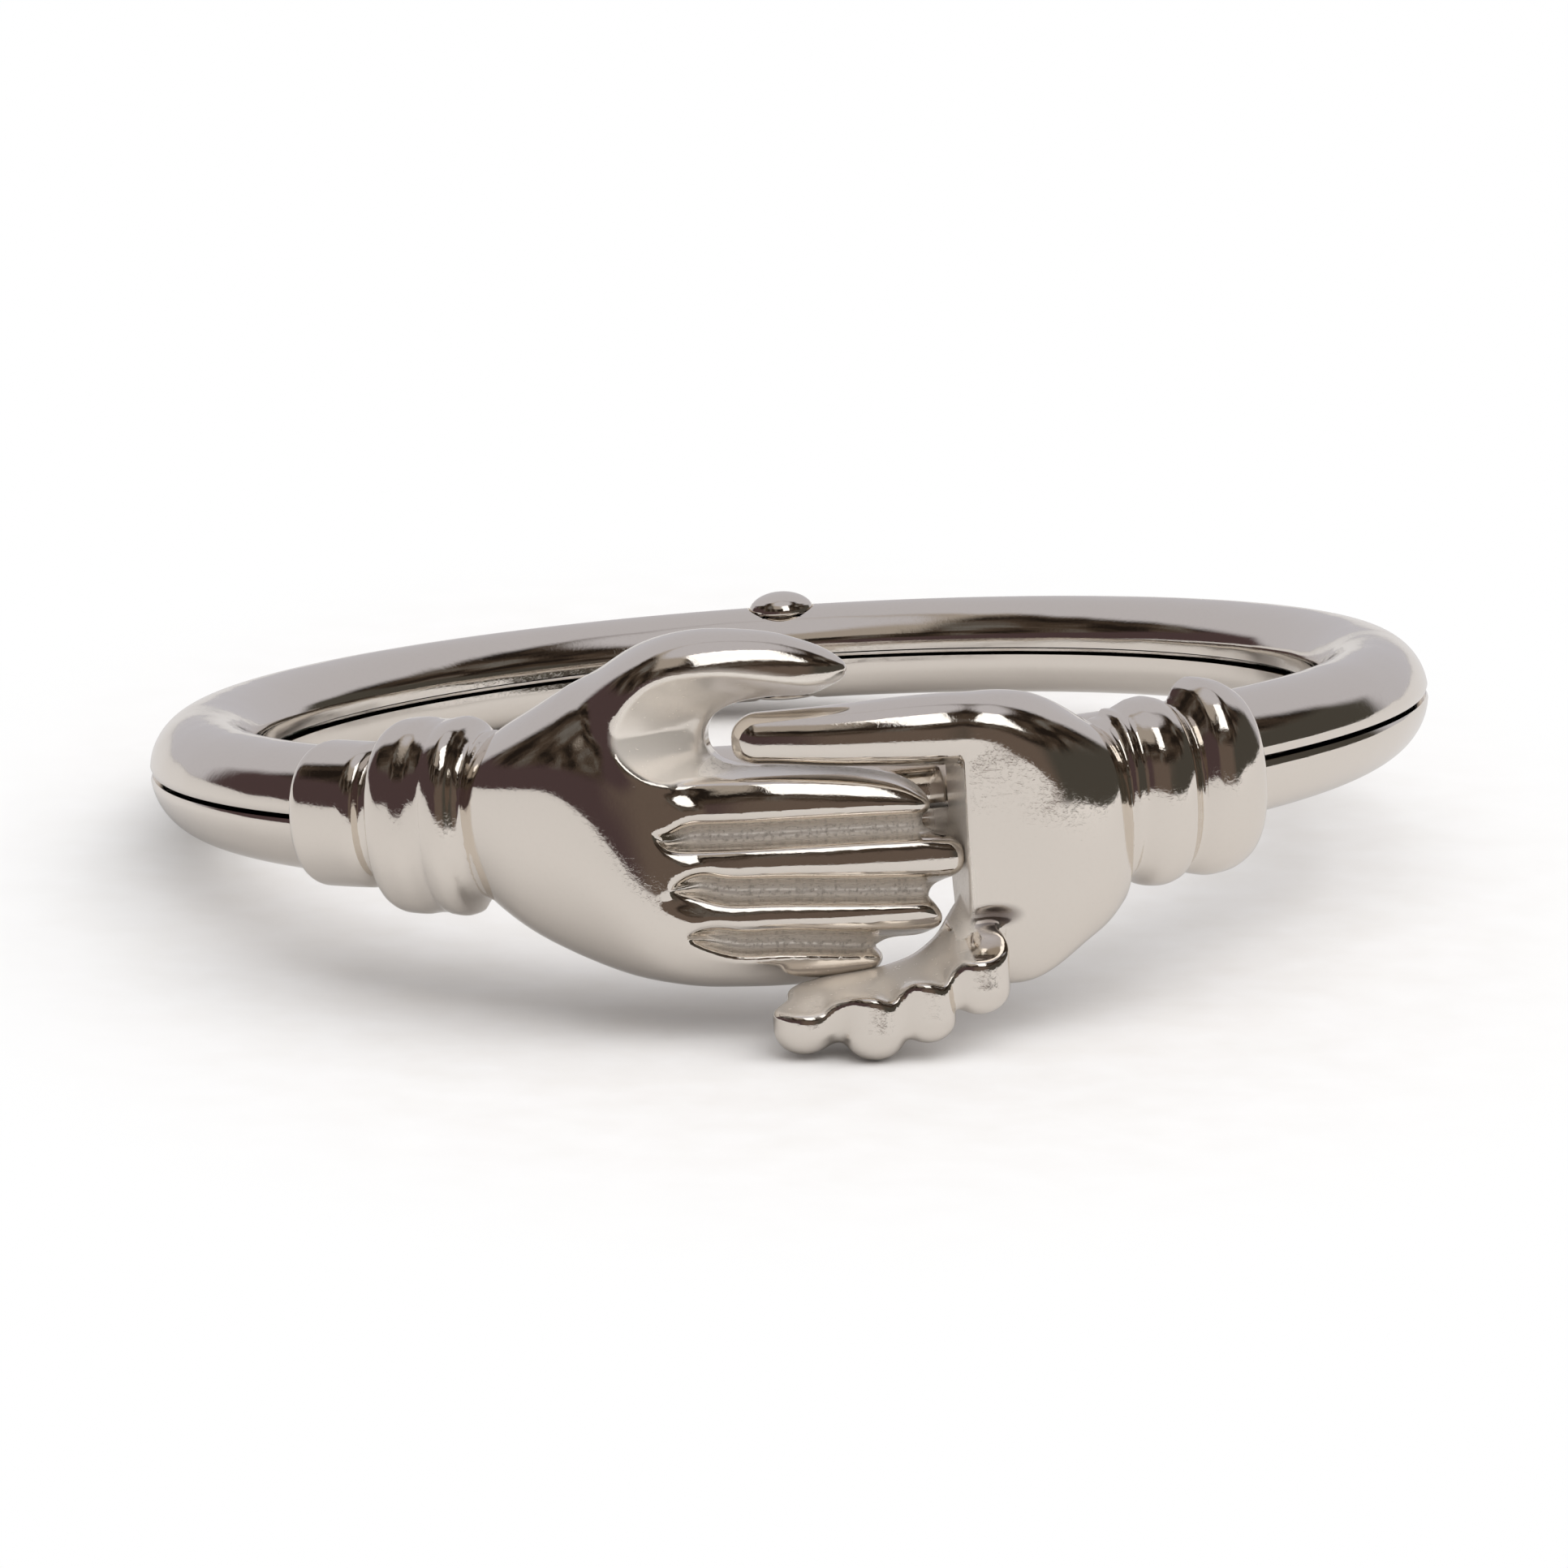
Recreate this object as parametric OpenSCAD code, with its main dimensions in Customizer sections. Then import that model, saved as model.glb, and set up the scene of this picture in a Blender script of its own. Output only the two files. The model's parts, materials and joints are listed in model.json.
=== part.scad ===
// Gimmel ring: two hoops stacked flat to flat on one pivot at the back.
// The upper hoop carries the left hand and the lower hoop the right one.
// The forms are laid out on the unrolled outer face of the hoops:
// u runs along the hoop from the front, v runs up the finger axis,
// and n stands out from the hoop's outer face.

/* [Hoops] */
// Radius of the finger hole
bore_r = 8.9; // [8.7:0.05:9.0]
// Radius of the circle that the middle of each hoop follows
hoop_r = 9.76; // [9.7:0.02:9.85]
// Radius of the round wire that the two hoops make together
wire_r = 0.95; // [0.9:0.01:1.0]
// Angle that makes the hoops thinner towards the pivot, in degrees
taper = 0.75; // [0:0.05:1]
// Gap between the two flat faces
seam = 0.06; // [0.04:0.01:0.1]
// Width of the bevel along the outer edge of each flat face
bevel = 0.14; // [0.05:0.01:0.2]

/* [Hands] */
// Height of the left hand with its thumb and fingers
left_height = 5.70; // [5.6:0.02:5.8]
// Height of the right hand with its thumb and curled fingers
right_height = 5.70; // [5.5:0.02:5.8]
// Gap between a hand's back and the other hoop
hand_gap = 0.08; // [0.06:0.01:0.12]
// Depth of the channels between the fingers of the left hand
channel = 0.42; // [0.2:0.02:0.5]

/* [Pivot] */
// Radius of the rivet's shank
shank_r = 0.42; // [0.35:0.01:0.45]
// Radius of the rivet's two heads
head_r = 0.56; // [0.5:0.01:0.6]
// Height of each domed head
head_h = 0.38; // [0.3:0.01:0.4]
// Play round the shank and under the heads
play = 0.03; // [0.02:0.01:0.06]

/* [Rest] */
// Lift of the front of the ring as it lies, in degrees
lift = 6.61; // [6:0.01:8]
// Lean of the ring to its left side as it lies, in degrees
lean = 4.57; // [3:0.01:5]
// Distance of the finger hole's centre behind the middle of the outline
centre_y = 1.241; // [1:0.001:1.5]
// Height of the finger hole's centre above the surface that it lies on
centre_z = 2.211; // [2:0.001:3]

/* [Hidden] */
silver = [0.80, 0.79, 0.77];
reach = 15;
deep = 6;
fine = 96;
face_r = hoop_r + wire_r;
pivot_y = hoop_r;
clear_r = face_r + hand_gap;
root_step = 0.04;
root_z = seam / 2 + root_step;
seat_depth = 0.14;
seat_z = wire_r - hoop_r * sin(taper) - seat_depth;
shank_in_head = 0.1;
swing_span = 60;
cuff_sides = 28;
palm_sides = 32;
thumb_sides = 22;
slab_sides = 20;
finger_steps = 13;
ridge_steps = 5;
bump_sides = 16;
rim_round = 0.08;

// Each row is a section across a form: where it stands along the hoop,
// its lowest and highest points, its back and its front.
// columns: u, low, high, back, front
left_cuff = [
  [-8.34, -0.80, 1.10, -0.70, 0.78],
  [-8.24, -0.96, 1.27, -0.84, 0.98],
  [-8.06, -1.02, 1.34, -0.90, 1.06],
  [-7.20, -1.01, 1.34, -0.90, 1.06],
  [-7.03, -0.95, 1.28, -0.86, 1.00],
  [-6.94, -0.84, 1.18, -0.80, 0.86],
  [-6.70, -0.84, 1.20, -0.80, 0.86],
  [-6.62, -1.14, 1.55, -0.88, 1.16],
  [-6.51, -1.30, 1.70, -0.94, 1.32],
  [-6.30, -1.37, 1.78, -0.98, 1.40],
  [-6.06, -1.38, 1.79, -0.98, 1.40],
  [-5.96, -1.34, 1.75, -0.96, 1.35],
  [-5.82, -1.29, 1.70, -0.94, 1.28],
  [-5.64, -1.29, 1.71, -0.94, 1.29],
  [-5.50, -1.36, 1.78, -0.98, 1.40],
  [-5.34, -1.39, 1.81, -1.00, 1.45],
  [-5.20, -1.34, 1.76, -0.96, 1.38],
  [-5.08, -1.18, 1.62, -0.90, 1.22],
  [-4.98, -1.10, 1.56, -0.86, 1.16],
  [-4.88, -1.12, 1.58, -0.86, 1.18],
  [-4.76, -1.04, 1.50, -0.78, 1.10],
  [-4.60, -1.00, 1.46, -0.70, 1.04]
];
// columns: u, low, high, back, front
left_web = [
  [-2.60, 1.20, 2.30, -0.30, 1.30],
  [-2.30, 0.60, 2.50, -0.30, 1.12],
  [-1.90, 0.42, 2.50, -0.30, 0.82],
  [-1.55, 0.50, 2.40, -0.28, 0.52],
  [-1.24, 0.62, 2.26, -0.26, 0.24]
];
// columns: u, low, high, back, front
left_thumb = [
  [-3.90, 1.00, 2.00, -0.10, 1.20],
  [-3.20, 1.50, 2.58, -0.26, 1.44],
  [-2.76, 1.86, 2.86, -0.32, 1.50],
  [-2.22, 2.02, 3.07, -0.34, 1.44],
  [-1.66, 2.06, 3.17, -0.32, 1.34],
  [-1.12, 2.03, 3.17, -0.28, 1.24],
  [-0.57, 1.98, 3.11, -0.22, 1.14],
  [-0.03, 2.01, 3.01, -0.12, 1.02],
  [0.42, 2.02, 2.80, 0.04, 0.92],
  [0.76, 2.10, 2.60, 0.20, 0.80],
  [0.94, 2.22, 2.43, 0.36, 0.64]
];
// Edges of the back of the left hand and its fingers, and its height.
// columns: u, low, high, crown, height at the upper edge
left_back = [
  [-4.98, -0.95, 1.38, 1.00, 0.20],
  [-4.74, -1.22, 1.56, 1.16, 0.20],
  [-4.26, -1.58, 1.96, 1.50, 0.20],
  [-3.68, -1.87, 2.34, 1.66, 0.30],
  [-3.12, -2.14, 2.62, 1.72, 0.60],
  [-2.70, -2.27, 2.40, 1.72, 1.10],
  [-2.45, -2.32, 1.76, 1.70, 1.42],
  [-2.20, -2.36, 1.30, 1.66, 1.40],
  [-1.90, -2.41, 1.04, 1.60, 1.30],
  [-1.60, -2.45, 0.93, 1.54, 1.10],
  [-1.10, -2.50, 0.90, 1.48, 0.90],
  [-0.35, -2.53, 0.87, 1.40, 0.80],
  [0.20, -2.51, 0.82, 1.34, 0.70],
  [0.70, -2.42, 0.75, 1.28, 0.60],
  [1.10, -2.31, 0.68, 1.24, 0.50],
  [1.60, -2.24, 0.52, 1.20, 0.42],
  [2.34, -2.24, 0.34, 1.16, 0.36]
];
// Lines that run the length of the back of the left hand, from its lower
// edge to its upper one: ridges are fingers and the rest are channels.
// columns: name, share of the width at the roots, and at the tips, end, height
left_lines = [
  ["lower edge", 0.00, 0.00, 0.90, 0.24],
  ["little finger", 0.10, 0.06, 1.12, 0.88],
  ["channel", 0.19, 0.12, 1.10, 0.66],
  ["ring finger", 0.31, 0.27, 2.00, 0.98],
  ["channel", 0.44, 0.42, 1.80, 0.62],
  ["middle finger", 0.59, 0.63, 2.34, 1.00],
  ["channel", 0.74, 0.79, 1.84, 0.62],
  ["forefinger", 0.90, 0.93, 1.96, 0.98],
  ["upper edge", 1.00, 1.00, 1.72, 0.60]
];
hand_back = -0.28;
least_height = 0.14;
root_u = -1.80;
middle_end = left_lines[5][3];
knuckle_u = [-2.45, -1.55];
dome_power = 2.6;
tip_power = 14;
tip_height = 0.7;
channel_ridge = 0.42;
palm_us = [-4.98, -4.84, -4.60, -4.20, -3.80, -3.40, -3.10, -2.86, -2.68, -2.52, -2.36, -2.18, -2.00];

// columns: u, low, high, back, front
right_cuff = [
  [4.80, -1.40, 1.16, -0.70, 1.10],
  [5.04, -1.42, 1.18, -0.78, 1.12],
  [5.16, -1.48, 1.28, -0.84, 1.20],
  [5.28, -1.46, 1.26, -0.84, 1.18],
  [5.40, -1.50, 1.30, -0.88, 1.26],
  [5.60, -1.58, 1.37, -0.94, 1.37],
  [5.82, -1.60, 1.39, -0.96, 1.40],
  [6.04, -1.54, 1.34, -0.92, 1.32],
  [6.20, -1.42, 1.20, -0.84, 1.12],
  [6.31, -1.34, 1.16, -0.80, 1.02],
  [6.40, -1.38, 1.28, -0.84, 1.14],
  [6.54, -1.46, 1.48, -0.92, 1.30],
  [6.78, -1.50, 1.58, -0.96, 1.41],
  [7.02, -1.48, 1.54, -0.94, 1.36],
  [7.28, -1.42, 1.43, -0.90, 1.24],
  [7.46, -1.34, 1.30, -0.84, 1.10],
  [7.56, -1.18, 1.12, -0.72, 0.92]
];
// columns: u, low, high, back, front
right_palm = [
  [2.44, -2.56, 1.20, -0.10, 1.34],
  [2.56, -2.72, 1.62, -0.20, 1.46],
  [2.96, -2.83, 1.92, -0.34, 1.62],
  [3.46, -2.80, 1.84, -0.42, 1.70],
  [3.76, -2.64, 1.76, -0.48, 1.72],
  [4.19, -2.42, 1.60, -0.54, 1.64],
  [4.52, -2.22, 1.40, -0.56, 1.52],
  [4.82, -2.00, 1.18, -0.58, 1.34],
  [5.06, -1.72, 0.94, -0.60, 1.12]
];
// columns: u, low, high, back, front
right_thumb = [
  [-0.90, 1.32, 1.56, 0.50, 0.84],
  [-0.82, 1.14, 1.72, 0.36, 1.02],
  [-0.66, 1.03, 1.83, 0.26, 1.14],
  [-0.30, 0.98, 1.88, 0.18, 1.24],
  [0.50, 0.90, 1.91, 0.10, 1.32],
  [1.30, 0.83, 1.94, 0.06, 1.38],
  [2.10, 0.77, 1.97, 0.04, 1.46],
  [2.80, 0.74, 1.93, 0.06, 1.50],
  [3.40, 0.78, 1.72, 0.10, 1.44]
];
// columns: u, low, high, back, front
right_shelf = [
  [-0.30, -3.28, -2.80, 0.70, 1.60],
  [0.20, -3.36, -2.64, 0.50, 1.66],
  [0.90, -3.36, -2.56, 0.40, 1.70],
  [1.60, -3.20, -2.38, 0.32, 1.66],
  [2.20, -2.96, -2.08, 0.26, 1.60],
  [2.70, -2.72, -1.90, 0.20, 1.50]
];
// The curled fingers of the right hand are upright bumps along the shelf.
// columns: u, foot, rim, radius, front
right_bumps = [
  [-0.05, -3.58, -2.70, 0.46, 2.02],
  [0.92, -3.74, -2.55, 0.45, 2.14],
  [1.64, -3.50, -2.34, 0.40, 2.10],
  [2.44, -3.16, -1.86, 0.43, 2.04]
];

// Puts a point of the unrolled face in its place round the ring.
function on_hoop(u, v, n) =
  let (turn = u / face_r * 180 / PI, r = face_r + n)
  [r * sin(turn), -r * cos(turn), v];

function power(x, p) = sign(x) * pow(abs(x), p);

// One closed section, squarer than an ellipse by its power.
function section(row, sides, p) =
  let (v_mid = (row[1] + row[2]) / 2, v_half = (row[2] - row[1]) / 2)
  let (n_mid = (row[3] + row[4]) / 2, n_half = (row[4] - row[3]) / 2)
  [for (k = [0:sides - 1])
    let (a = 360 * (k + 0.5) / sides)
    on_hoop(row[0], v_mid + v_half * power(cos(a), p), n_mid + n_half * power(sin(a), p))];

// Joins closed rings of points into one solid with flat ends.
module skin(rings) {
  count = len(rings);
  sides = len(rings[0]);
  points = [for (ring = rings) each ring];
  walls = [for (i = [0:count - 2]) for (k = [0:sides - 1])
    let (next = (k + 1) % sides, a = i * sides, b = a + sides)
    each [[a + k, b + next, a + next], [a + k, b + k, b + next]]];
  first = [for (k = [0:sides - 1]) k];
  last = [for (k = [sides - 1:-1:0]) (count - 1) * sides + k];
  polyhedron(points, concat(walls, [first, last]));
}

module cast_form(rows, sides, p = 0.9) {
  skin([for (row = rows) section(row, sides, p)]);
}

// Rows worked out between the rows of a table, on a curve through them.
function spline(a, b, c, d, t) =
  b + 0.5 * t * (c - a + t * (2 * a - 5 * b + 4 * c - d + t * (3 * (b - c) + d - a)));

function refine(rows, steps) =
  let (last = len(rows) - 1)
  concat([for (i = [0:last - 1]) for (j = [0:steps - 1])
    spline(rows[max(i - 1, 0)], rows[i], rows[i + 1], rows[min(i + 2, last)], j / steps)],
    [rows[last]]);

function blend(a, b, t) = a * (1 - t) + b * t;
function ease(t) = let (x = max(0, min(1, t))) x * x * (3 - 2 * x);
function column(table, c, u) = lookup(u, [for (row = table) [row[0], row[c]]]);
function between(c, k, t) = blend(left_lines[k][c], left_lines[k + 1][c], t);
function waved(c, k, t) = blend(left_lines[k][c], left_lines[k + 1][c], ease(t));

// A point of the left hand's back: k and t say where it is between two
// lines, and u where it is along the hand.
function back_point(u, k, t, fall, front) =
  let (low = column(left_back, 1, u), high = column(left_back, 2, u))
  let (along = max(0, (u - root_u) / (middle_end - root_u)))
  let (share = blend(between(1, k, t), between(2, k, t), along))
  let (v = blend(low, high, share))
  let (crown = column(left_back, 3, u), rim = column(left_back, 4, u) * ease((share - 0.5) * 2))
  let (dome = max(rim, crown * sqrt(1 - pow(abs(2 * share - 1), dome_power))))
  let (knuckle = ease((u - knuckle_u[0]) / (knuckle_u[1] - knuckle_u[0])))
  let (ridge = crown * (1 - (1 - waved(4, k, t)) * channel / channel_ridge))
  on_hoop(u, v, front ? max(least_height, blend(dome, ridge, knuckle) * fall) : hand_back);

module left_back_form() {
  last = len(left_lines) - 2;
  lines = [for (k = [0:last]) for (j = [0:ridge_steps - 1]) [k, j / ridge_steps], [last, 1]];
  wide = len(lines);
  palm = [for (u = palm_us) [for (line = lines) [u, 1]]];
  fingers = [for (i = [0:finger_steps])
    let (s = sin(90 * i / finger_steps))
    [for (line = lines) [blend(root_u, waved(3, line[0], line[1]), s), max(tip_height, sqrt(1 - pow(s, tip_power)))]]];
  skin([for (station = concat(palm, fingers)) concat(
    [for (j = [wide - 1:-1:0]) back_point(station[j][0], lines[j][0], lines[j][1], station[j][1], true)],
    [for (j = [0:wide - 1]) back_point(station[j][0], lines[j][0], lines[j][1], 1, false)])]);
}

// A curled finger: a round upright bump with a ball foot and a flat rim.
module curled_finger(row) {
  r = row[3];
  n_mid = row[4] - r;
  ball = [for (a = [15:15:90]) [row[1] + r * (1 - cos(a)), r * sin(a)]];
  shaft = [[row[2] - 4 * rim_round, r], [row[2] - rim_round, 0.96 * r], [row[2], 0.8 * r]];
  skin([for (level = concat(ball, shaft))
    [for (k = [0:bump_sides - 1])
      let (a = -360 * k / bump_sides)
      on_hoop(row[0] + level[1] * cos(a), level[0], n_mid + level[1] * sin(a))]]);
}

// Room for the other hoop as the hand swings: side 1 clears the space
// below the seam and side -1 the space above it. Past the front the room
// widens, because there the hoop passes on a wider circle round the pivot.
function swing_r(a) =
  a < 0 ? clear_r :
  sqrt(pow(pivot_y + clear_r, 2) - pow(pivot_y * sin(a), 2)) - pivot_y * cos(a);

module swing_room(side) {
  edge = [for (a = [-swing_span:2:swing_span]) let (r = swing_r(a)) [side * r * sin(a), -r * cos(a)]];
  translate([0, 0, side > 0 ? root_z - deep : -root_z])
    linear_extrude(height = deep) polygon(concat([[0, 0]], edge));
}

module left_hand() {
  resize([0, 0, left_height]) difference() {
    union() {
      cast_form(left_cuff, cuff_sides);
      left_back_form();
      cast_form(left_web, thumb_sides, 0.7);
      cast_form(refine(left_thumb, 2), thumb_sides);
    }
    swing_room(1);
  }
}

module right_hand() {
  resize([0, 0, right_height]) difference() {
    union() {
      cast_form(right_cuff, cuff_sides);
      cast_form(refine(right_palm, 2), palm_sides, 0.8);
      cast_form(refine(right_thumb, 2), thumb_sides);
      cast_form(right_shelf, slab_sides, 0.7);
      for (row = right_bumps) curled_finger(row);
    }
    swing_room(-1);
  }
}

// The upper hoop for side 1 and the lower one for side -1: half of a round
// wire, with a true bore, a flat face with a bevelled edge, and a rivet hole.
module hoop(side) {
  mirror([0, 0, side > 0 ? 0 : 1]) difference() {
    rotate([-taper, 0, 0]) rotate_extrude($fn = fine) translate([hoop_r, 0]) circle(r = wire_r, $fn = fine);
    translate([-reach, -reach, -deep]) cube([2 * reach, 2 * reach, deep + seam / 2]);
    translate([0, 0, -deep]) cylinder(r = bore_r, h = 2 * deep, $fn = fine);
    rotate_extrude($fn = fine) polygon([
      [face_r - bevel, -deep],
      [face_r + deep, -deep],
      [face_r + deep, seam / 2 + bevel + deep],
      [face_r - bevel, seam / 2]]);
    translate([0, pivot_y, -deep]) cylinder(r = shank_r + play, h = 2 * deep, $fn = fine);
    translate([0, pivot_y, seat_z]) cylinder(r = head_r + play, h = deep, $fn = fine);
  }
}

module rest() {
  translate([0, centre_y, centre_z]) rotate([-lift, -lean, 0]) children();
}

module left_hand_hoop() {
  color(silver) rest() {
    hoop(1);
    left_hand();
  }
}

module right_hand_hoop() {
  color(silver) rest() {
    hoop(-1);
    right_hand();
  }
}

// One rivet: a shank between two domed heads that sit in the hoops.
module pivot_rivet() {
  dome_r = (head_r * head_r + head_h * head_h) / (2 * head_h);
  head_z = seat_z + play;
  half = head_z + shank_in_head;
  color(silver) rest() translate([0, pivot_y, 0]) {
    translate([0, 0, -half]) cylinder(r = shank_r, h = 2 * half, $fn = fine);
    for (end = [0, 1]) mirror([0, 0, end]) intersection() {
      translate([0, 0, head_z]) cylinder(r = head_r, h = head_h, $fn = fine);
      translate([0, 0, head_z + head_h - dome_r]) sphere(r = dome_r, $fn = fine);
    }
  }
}

left_hand_hoop();
right_hand_hoop();
pivot_rivet();
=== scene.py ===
import json
import math

import bpy
import numpy as np
import openvdb
from mathutils import Matrix, Vector


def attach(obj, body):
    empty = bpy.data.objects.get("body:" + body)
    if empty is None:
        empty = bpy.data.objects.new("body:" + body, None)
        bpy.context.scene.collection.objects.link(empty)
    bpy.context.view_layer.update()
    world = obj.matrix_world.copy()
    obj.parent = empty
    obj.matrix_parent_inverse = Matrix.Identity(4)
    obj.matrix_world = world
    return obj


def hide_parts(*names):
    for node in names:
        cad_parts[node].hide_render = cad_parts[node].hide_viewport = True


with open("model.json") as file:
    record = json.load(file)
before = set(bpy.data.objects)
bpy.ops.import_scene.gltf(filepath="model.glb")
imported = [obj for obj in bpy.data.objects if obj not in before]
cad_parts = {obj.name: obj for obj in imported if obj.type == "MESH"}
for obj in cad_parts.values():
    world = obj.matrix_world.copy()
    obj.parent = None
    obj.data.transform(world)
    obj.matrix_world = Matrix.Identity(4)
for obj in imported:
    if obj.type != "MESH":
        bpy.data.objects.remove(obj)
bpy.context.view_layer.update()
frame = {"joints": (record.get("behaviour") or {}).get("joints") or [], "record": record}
print("frame loaded")

perMillimetre = 1000.0  # as a count per metre

# The ring is shaped lying flat, in millimetres: x to the right, y to the back,
# z up the finger, with the middle of the finger hole at zero. The packed
# bore and hinge say how that frame lies in the row frame.
fingerBore = frame["record"]["mounts"][0]
hinge = frame["joints"][0]
holeCentre = Vector(fingerBore["pos_m"])
upAxis = Vector(fingerBore["axis"]).normalized()
backAxis = Vector(hinge["pos_m"]) - holeCentre
backAxis = (backAxis - upAxis * backAxis.dot(upAxis)).normalized()
rightAxis = backAxis.cross(upAxis)
turnToRow = Matrix((rightAxis, backAxis, upAxis)).transposed()
ringToRow = Matrix.Translation(holeCentre) @ turnToRow.to_4x4() @ Matrix.Scale(0.001, 4)

hoop = {  # millimetres and degrees
    "boreRadius": fingerBore["dims"]["r_mm"],
    "middleRadius": 9.76,
    "wireRadius": 0.946,
    "taper": 0.75,  # thins each hoop towards the rivet
    "halfSeam": 0.03,
    "middleHeight": 0.42,  # of a hoop's section, above the seam
    "seamRounding": 0.20,
    "boreRounding": 0.06,
    "stepsAround": 300,
    "stepsAcross": 80,
    "cleanGap": 0.08,  # between a hand's back and the other hoop
    "seamGap": 0.07,  # between a hand and the other hoop's flat
}
rivet = {  # millimetres
    "shankRadius": 0.42,
    "headRadius": 0.56,
    "headHeight": 0.36,
    "seatDepth": 0.14,
    "play": 0.03,
    "lowerFlattening": 0.75,  # share that hammering takes off the lower head
    "hammerDepth": 0.035,
    "hammerSize": 0.9,
    "hammerLevel": 0.62,  # of the noise, where a blow leaves the head as it was
    "stepsAround": 96,
    "stepsAcross": 72,
    "hammeredFrom": 0.045,  # above the seat
    "seed": 4.0,
}
fullTurn = 2 * math.pi
faceRadius = hoop["middleRadius"] + hoop["wireRadius"]
taperRise = hoop["middleRadius"] * math.sin(math.radians(hoop["taper"]))
seatHeight = hoop["wireRadius"] - taperRise - rivet["seatDepth"]
mergeReach = 0.0005  # millimetres, closes the seams of what is swept round
sharpAngle = math.radians(50)
# The second share marks where the cup is painted dark, as painted shade.
finishStates = ("unpolished", "paintedCupShade", "frosted")  # each a share from 0 to 1


# One helper for every node, in materials and in Geometry Nodes alike.
def addNode(tree, kind, links=None, settings=None):
    node = tree.nodes.new(kind)
    for name, value in (settings or {}).items():
        setattr(node, name, value)
    for socket, value in (links or {}).items():
        if isinstance(value, bpy.types.NodeSocket):
            tree.links.new(value, node.inputs[socket])
        else:
            node.inputs[socket].default_value = value
    return node.outputs


def linearColour(hexCode):
    parts = [int(hexCode[i:i + 2], 16) / 255 for i in (1, 3, 5)]
    return [c / 12.92 if c <= 0.04045 else ((c + 0.055) / 1.055) ** 2.4 for c in parts] + [1.0]


# Operations besides those of a Math node: the node, its settings, the sockets
# that the inputs go to and the output that is read.
otherOperations = {
    "RAMP": ("ShaderNodeMapRange", {}, range(5), 0),
    "FADE": ("ShaderNodeMapRange", {"interpolation_type": "SMOOTHSTEP"}, range(5), 0),
    "BLEND": ("ShaderNodeMix", {"data_type": "RGBA"}, (0, 6, 7), 2),
    "PLACE": ("ShaderNodeCombineXYZ", {}, range(3), 0),
}


# Adds a node for each row of name, operation and inputs, and files its output
# under the name. An input is a number, a colour or the name of what is known.
def addFormulas(tree, known, rows):
    for name, operation, *inputs in rows:
        kind, settings, sockets, output = otherOperations.get(
            operation, ("ShaderNodeMath", {"operation": operation}, range(3), 0))
        links = {}
        for socket, value in zip(sockets, inputs):
            if isinstance(value, str):
                value = linearColour(value) if value.startswith("#") else known[value]
            links[socket] = value
        known[name] = addNode(tree, kind, links, settings)[output]


# The emptied node tree of a material or a world.
def emptyTree(owner):
    owner.use_nodes = True
    owner.node_tree.nodes.clear()
    return owner.node_tree


# The smaller of two fields, with a soft turn where they meet.
def smoothMin(a, b, blend):
    near = np.maximum(blend - np.abs(a - b), 0) / blend
    return np.minimum(a, b) - near * near * blend / 4


def smoothMax(a, b, blend):
    return -smoothMin(-a, -b, blend)


def ease(t):
    t = np.clip(t, 0, 1)
    return t * t * (3 - 2 * t)


# A curve through points, with the slopes given at the points.
def hermite(xs, ys, slopes):
    def at(x):
        x = np.clip(x, xs[0], xs[-1])
        i = np.clip(np.searchsorted(xs, x) - 1, 0, len(xs) - 2)
        gap = xs[i + 1] - xs[i]
        t = (x - xs[i]) / gap
        s = 1 - t
        return (ys[i] * (1 + 2 * t) * s * s + ys[i + 1] * (1 + 2 * s) * t * t
                + gap * s * t * (slopes[i] * s - slopes[i + 1] * t))
    return at


# Never swings past its points: for turned bands.
def steadyCurve(xs, ys):
    xs, ys = np.array(xs, float), np.array(ys, float)
    chords = np.diff(ys) / np.diff(xs)
    slopes = np.zeros(len(xs))
    slopes[0], slopes[-1] = chords[0], chords[-1]
    rising = chords[1:] * chords[:-1] > 0
    total = np.where(rising, chords[1:] + chords[:-1], 1)
    slopes[1:-1] = np.where(rising, 2 * chords[1:] * chords[:-1] / total, 0)
    return hermite(xs, ys, slopes)


# Keeps its curvature even: for the swelling forms of a hand.
def flowingCurve(xs, ys):
    xs, ys = np.array(xs, float), np.array(ys, float)
    gaps, count = np.diff(xs), len(xs)
    chords = np.diff(ys) / gaps
    matrix, right = np.eye(count), np.zeros(count)
    right[0], right[-1] = chords[0], chords[-1]
    for i in range(1, count - 1):
        matrix[i, i - 1:i + 2] = gaps[i], 2 * (gaps[i - 1] + gaps[i]), gaps[i - 1]
        right[i] = 3 * (gaps[i] * chords[i - 1] + gaps[i - 1] * chords[i])
    return hermite(xs, ys, np.linalg.solve(matrix, right))


# A form cast along u from rows of u, low, high, back, front and, where it
# isn't halfway, the v of its fullest line. It ends in a cap or a round tip.
def castForm(shape, name, curve=flowingCurve):
    rows, squareness, capRound = shape[name], shape["squareness"][name], shape["caps"][name]
    tip = shape.get(name + "Tip")
    us = [row[0] for row in rows]
    low, high, back, front = (curve(us, [row[c] for row in rows]) for c in (1, 2, 3, 4))
    full = curve(us, [row[5] if len(row) > 5 else (row[1] + row[2]) / 2 for row in rows])

    def field(u, v, n):
        middle = full(u)
        reach = np.where(v > middle, high(u) - middle, middle - low(u))
        halfN = (front(u) - back(u)) / 2
        acrossV = np.abs(v - middle) / reach
        acrossN = np.abs((n - (front(u) + back(u)) / 2) / halfN)
        size = (acrossV ** squareness + acrossN ** squareness) ** (1 / squareness)
        if tip:
            along = np.clip((u - tip[0]) / (tip[1] - tip[0]), 0, None)
            size = np.sqrt(size * size + along * along)
        walls = (size - 1) * np.minimum((high(u) - low(u)) / 2, halfN)
        return smoothMax(walls, np.maximum(us[0] - u, u - us[-1]), capRound)
    return field


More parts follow.
